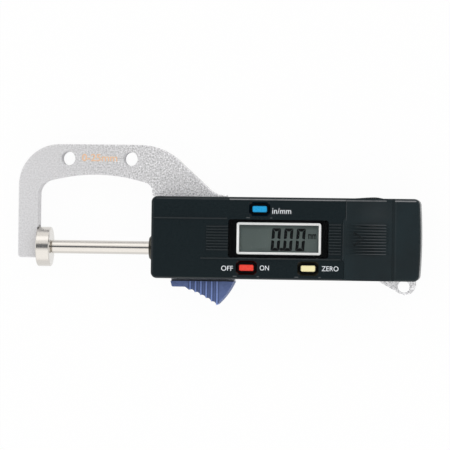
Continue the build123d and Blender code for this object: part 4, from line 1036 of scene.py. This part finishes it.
class GAUGE_OT_stage(Operator):
    """Camera, lamps, room light and floor"""

    bl_idname = "gauge.stage"
    bl_label = "Stage"

    def execute(self, context):
        stage = context.scene.gauge_stage
        self.make_camera(context, stage)
        self.make_lamp(context, "key_lamp", stage.key_power, (0.0, 0.72, 0.62), (1.5, 0.42))
        self.make_lamp(context, "fill_lamp", stage.fill_power, (-0.25, -0.75, 0.62), (2.0, 1.2))
        self.make_room(context, stage)
        self.make_floor(context)
        context.scene.view_settings.view_transform = "Standard"
        return {"FINISHED"}

    def make_camera(self, context, stage):
        """A long lens that looks down on the display, a little from the tail."""
        data = bpy.data.cameras.new("camera")
        data.lens = stage.camera_lens
        data.clip_end = 10.0
        camera = bpy.data.objects.new("camera", data)
        context.scene.collection.objects.link(camera)
        yaw = stage.camera_yaw
        roll = stage.camera_roll
        back = Vector((math.sin(yaw), 0.0, math.cos(yaw)))
        side = Vector((math.cos(yaw), 0.0, -math.sin(yaw)))
        rise = Vector((0.0, 1.0, 0.0))
        right = math.cos(roll) * side + math.sin(roll) * rise
        top = math.cos(roll) * rise - math.sin(roll) * side
        turn = Matrix((right, top, back)).transposed().to_4x4()
        camera.matrix_world = Matrix.Translation(Vector(stage.aim) + back * stage.camera_distance) @ turn
        context.scene.camera = camera

    def make_lamp(self, context, name, power, place, size):
        """A rectangular softbox that faces the gauge."""
        data = bpy.data.lights.new(name, "AREA")
        data.shape = "RECTANGLE"
        data.size, data.size_y = size
        data.energy = power
        lamp = bpy.data.objects.new(name, data)
        context.scene.collection.objects.link(lamp)
        aim = Vector(context.scene.gauge_stage.aim)
        lamp.location = aim + Vector(place)
        lamp.rotation_euler = (aim - lamp.location).to_track_quat("-Z", "Y").to_euler()

    def make_room(self, context, stage):
        """An even white tent with a dark slit overhead where the camera stands."""
        world = bpy.data.worlds.new("soft_room")
        context.scene.world = world
        world.use_nodes = True
        room = Tree(world.node_tree)
        way = room.add("TexCoord").outputs["Generated"]
        inputs = {0: way, 1: (1.0, 4.0, 0.0), 2: (0.0, -0.22, 0.0)}
        stretched = room.add("VectorMath", inputs, operation="MULTIPLY_ADD").outputs[0]
        reach = room.add("VectorMath", {0: stretched}, operation="LENGTH").outputs["Value"]
        background = world.node_tree.nodes["Background"].inputs
        stops = ((0.75, (0.13, 0.138, 0.15)), (1.0, (1.0, 0.985, 0.965)))
        room.feed(background["Color"], room.ramp(reach, *stops))
        room.feed(background["Strength"], stage.world_strength)

    def make_floor(self, context):
        """A white floor that the camera sees as paper white and that keeps a soft shadow."""
        bm = bmesh.new()
        bmesh.ops.create_grid(bm, x_segments=1, y_segments=1, size=3.0)
        bmesh.ops.translate(bm, verts=bm.verts, vec=(0, 0, -0.02 * MM))
        mesh = bpy.data.meshes.new("floor")
        bm.to_mesh(mesh)
        bm.free()
        floor = bpy.data.objects.new("floor", mesh)
        context.scene.collection.objects.link(floor)
        material = bpy.data.materials.new("paper_white")
        material.use_nodes = True
        paper = Tree(material.node_tree)
        nodes = material.node_tree.nodes
        shader = nodes["Principled BSDF"]
        paper.feed(shader.inputs["Base Color"], (0.92, 0.92, 0.92))
        paper.feed(shader.inputs["Roughness"], 0.9)
        glow = paper.add("Emission", {"Strength": 1.0}).outputs[0]
        path = paper.add("LightPath").outputs
        seen = paper.calculate("MAXIMUM", path["Is Camera Ray"], path["Is Glossy Ray"])
        seen = paper.calculate("MAXIMUM", seen, path["Is Transmission Ray"])
        mix = paper.add("MixShader", {0: paper.product(seen, 0.96), 1: shader.outputs[0], 2: glow})
        paper.feed(nodes["Material Output"].inputs["Surface"], mix.outputs[0])
        mesh.materials.append(material)


class GAUGE_PT_panel(Panel):
    """The sidebar's list of the gauge's steps"""

    bl_label = "Snap Gauge"
    bl_idname = "GAUGE_PT_panel"
    bl_space_type = "VIEW_3D"
    bl_region_type = "UI"
    bl_category = "Snap Gauge"

    def draw(self, context):
        for key in PROPERTY_GROUPS:
            group = getattr(context.scene, key)
            box = self.layout.box()
            for name in group.bl_rna.properties.keys():
                if name not in ("rna_type", "name"):
                    box.prop(group, name)
        for operator in OPERATORS:
            self.layout.operator(operator.bl_idname)


OPERATORS = (
    GAUGE_OT_stage,
    GAUGE_OT_casting,
    GAUGE_OT_measuring_line,
    GAUGE_OT_mouldings,
    GAUGE_OT_trigger,
    GAUGE_OT_buttons,
    GAUGE_OT_display,
    GAUGE_OT_figures,
    GAUGE_OT_labels,
    GAUGE_OT_arch_words,
    GAUGE_OT_return_spring,
    GAUGE_OT_screws,
    GAUGE_OT_inner_parts,
)
PROPERTY_GROUPS = {
    "gauge_marks": GaugeMarks,
    "gauge_finishes": GaugeFinishes,
    "gauge_fasteners": GaugeFasteners,
    "gauge_stage": GaugeStage,
}


def register():
    """Register the classes and give every scene its groups of sizes and colours."""
    for name, group in PROPERTY_GROUPS.items():
        bpy.utils.register_class(group)
        setattr(bpy.types.Scene, name, PointerProperty(type=group))
    for cls in (*OPERATORS, GAUGE_PT_panel):
        bpy.utils.register_class(cls)


def unregister():
    """Take back what register did."""
    for cls in (GAUGE_PT_panel, *reversed(OPERATORS)):
        bpy.utils.unregister_class(cls)
    for name, group in PROPERTY_GROUPS.items():
        delattr(bpy.types.Scene, name)
        bpy.utils.unregister_class(group)


def main():
    """Dress the frame step by step."""
    register()
    for operator in OPERATORS:
        group, name = operator.bl_idname.split(".")
        getattr(getattr(bpy.ops, group), name)()


if __name__ == "__main__":
    main()
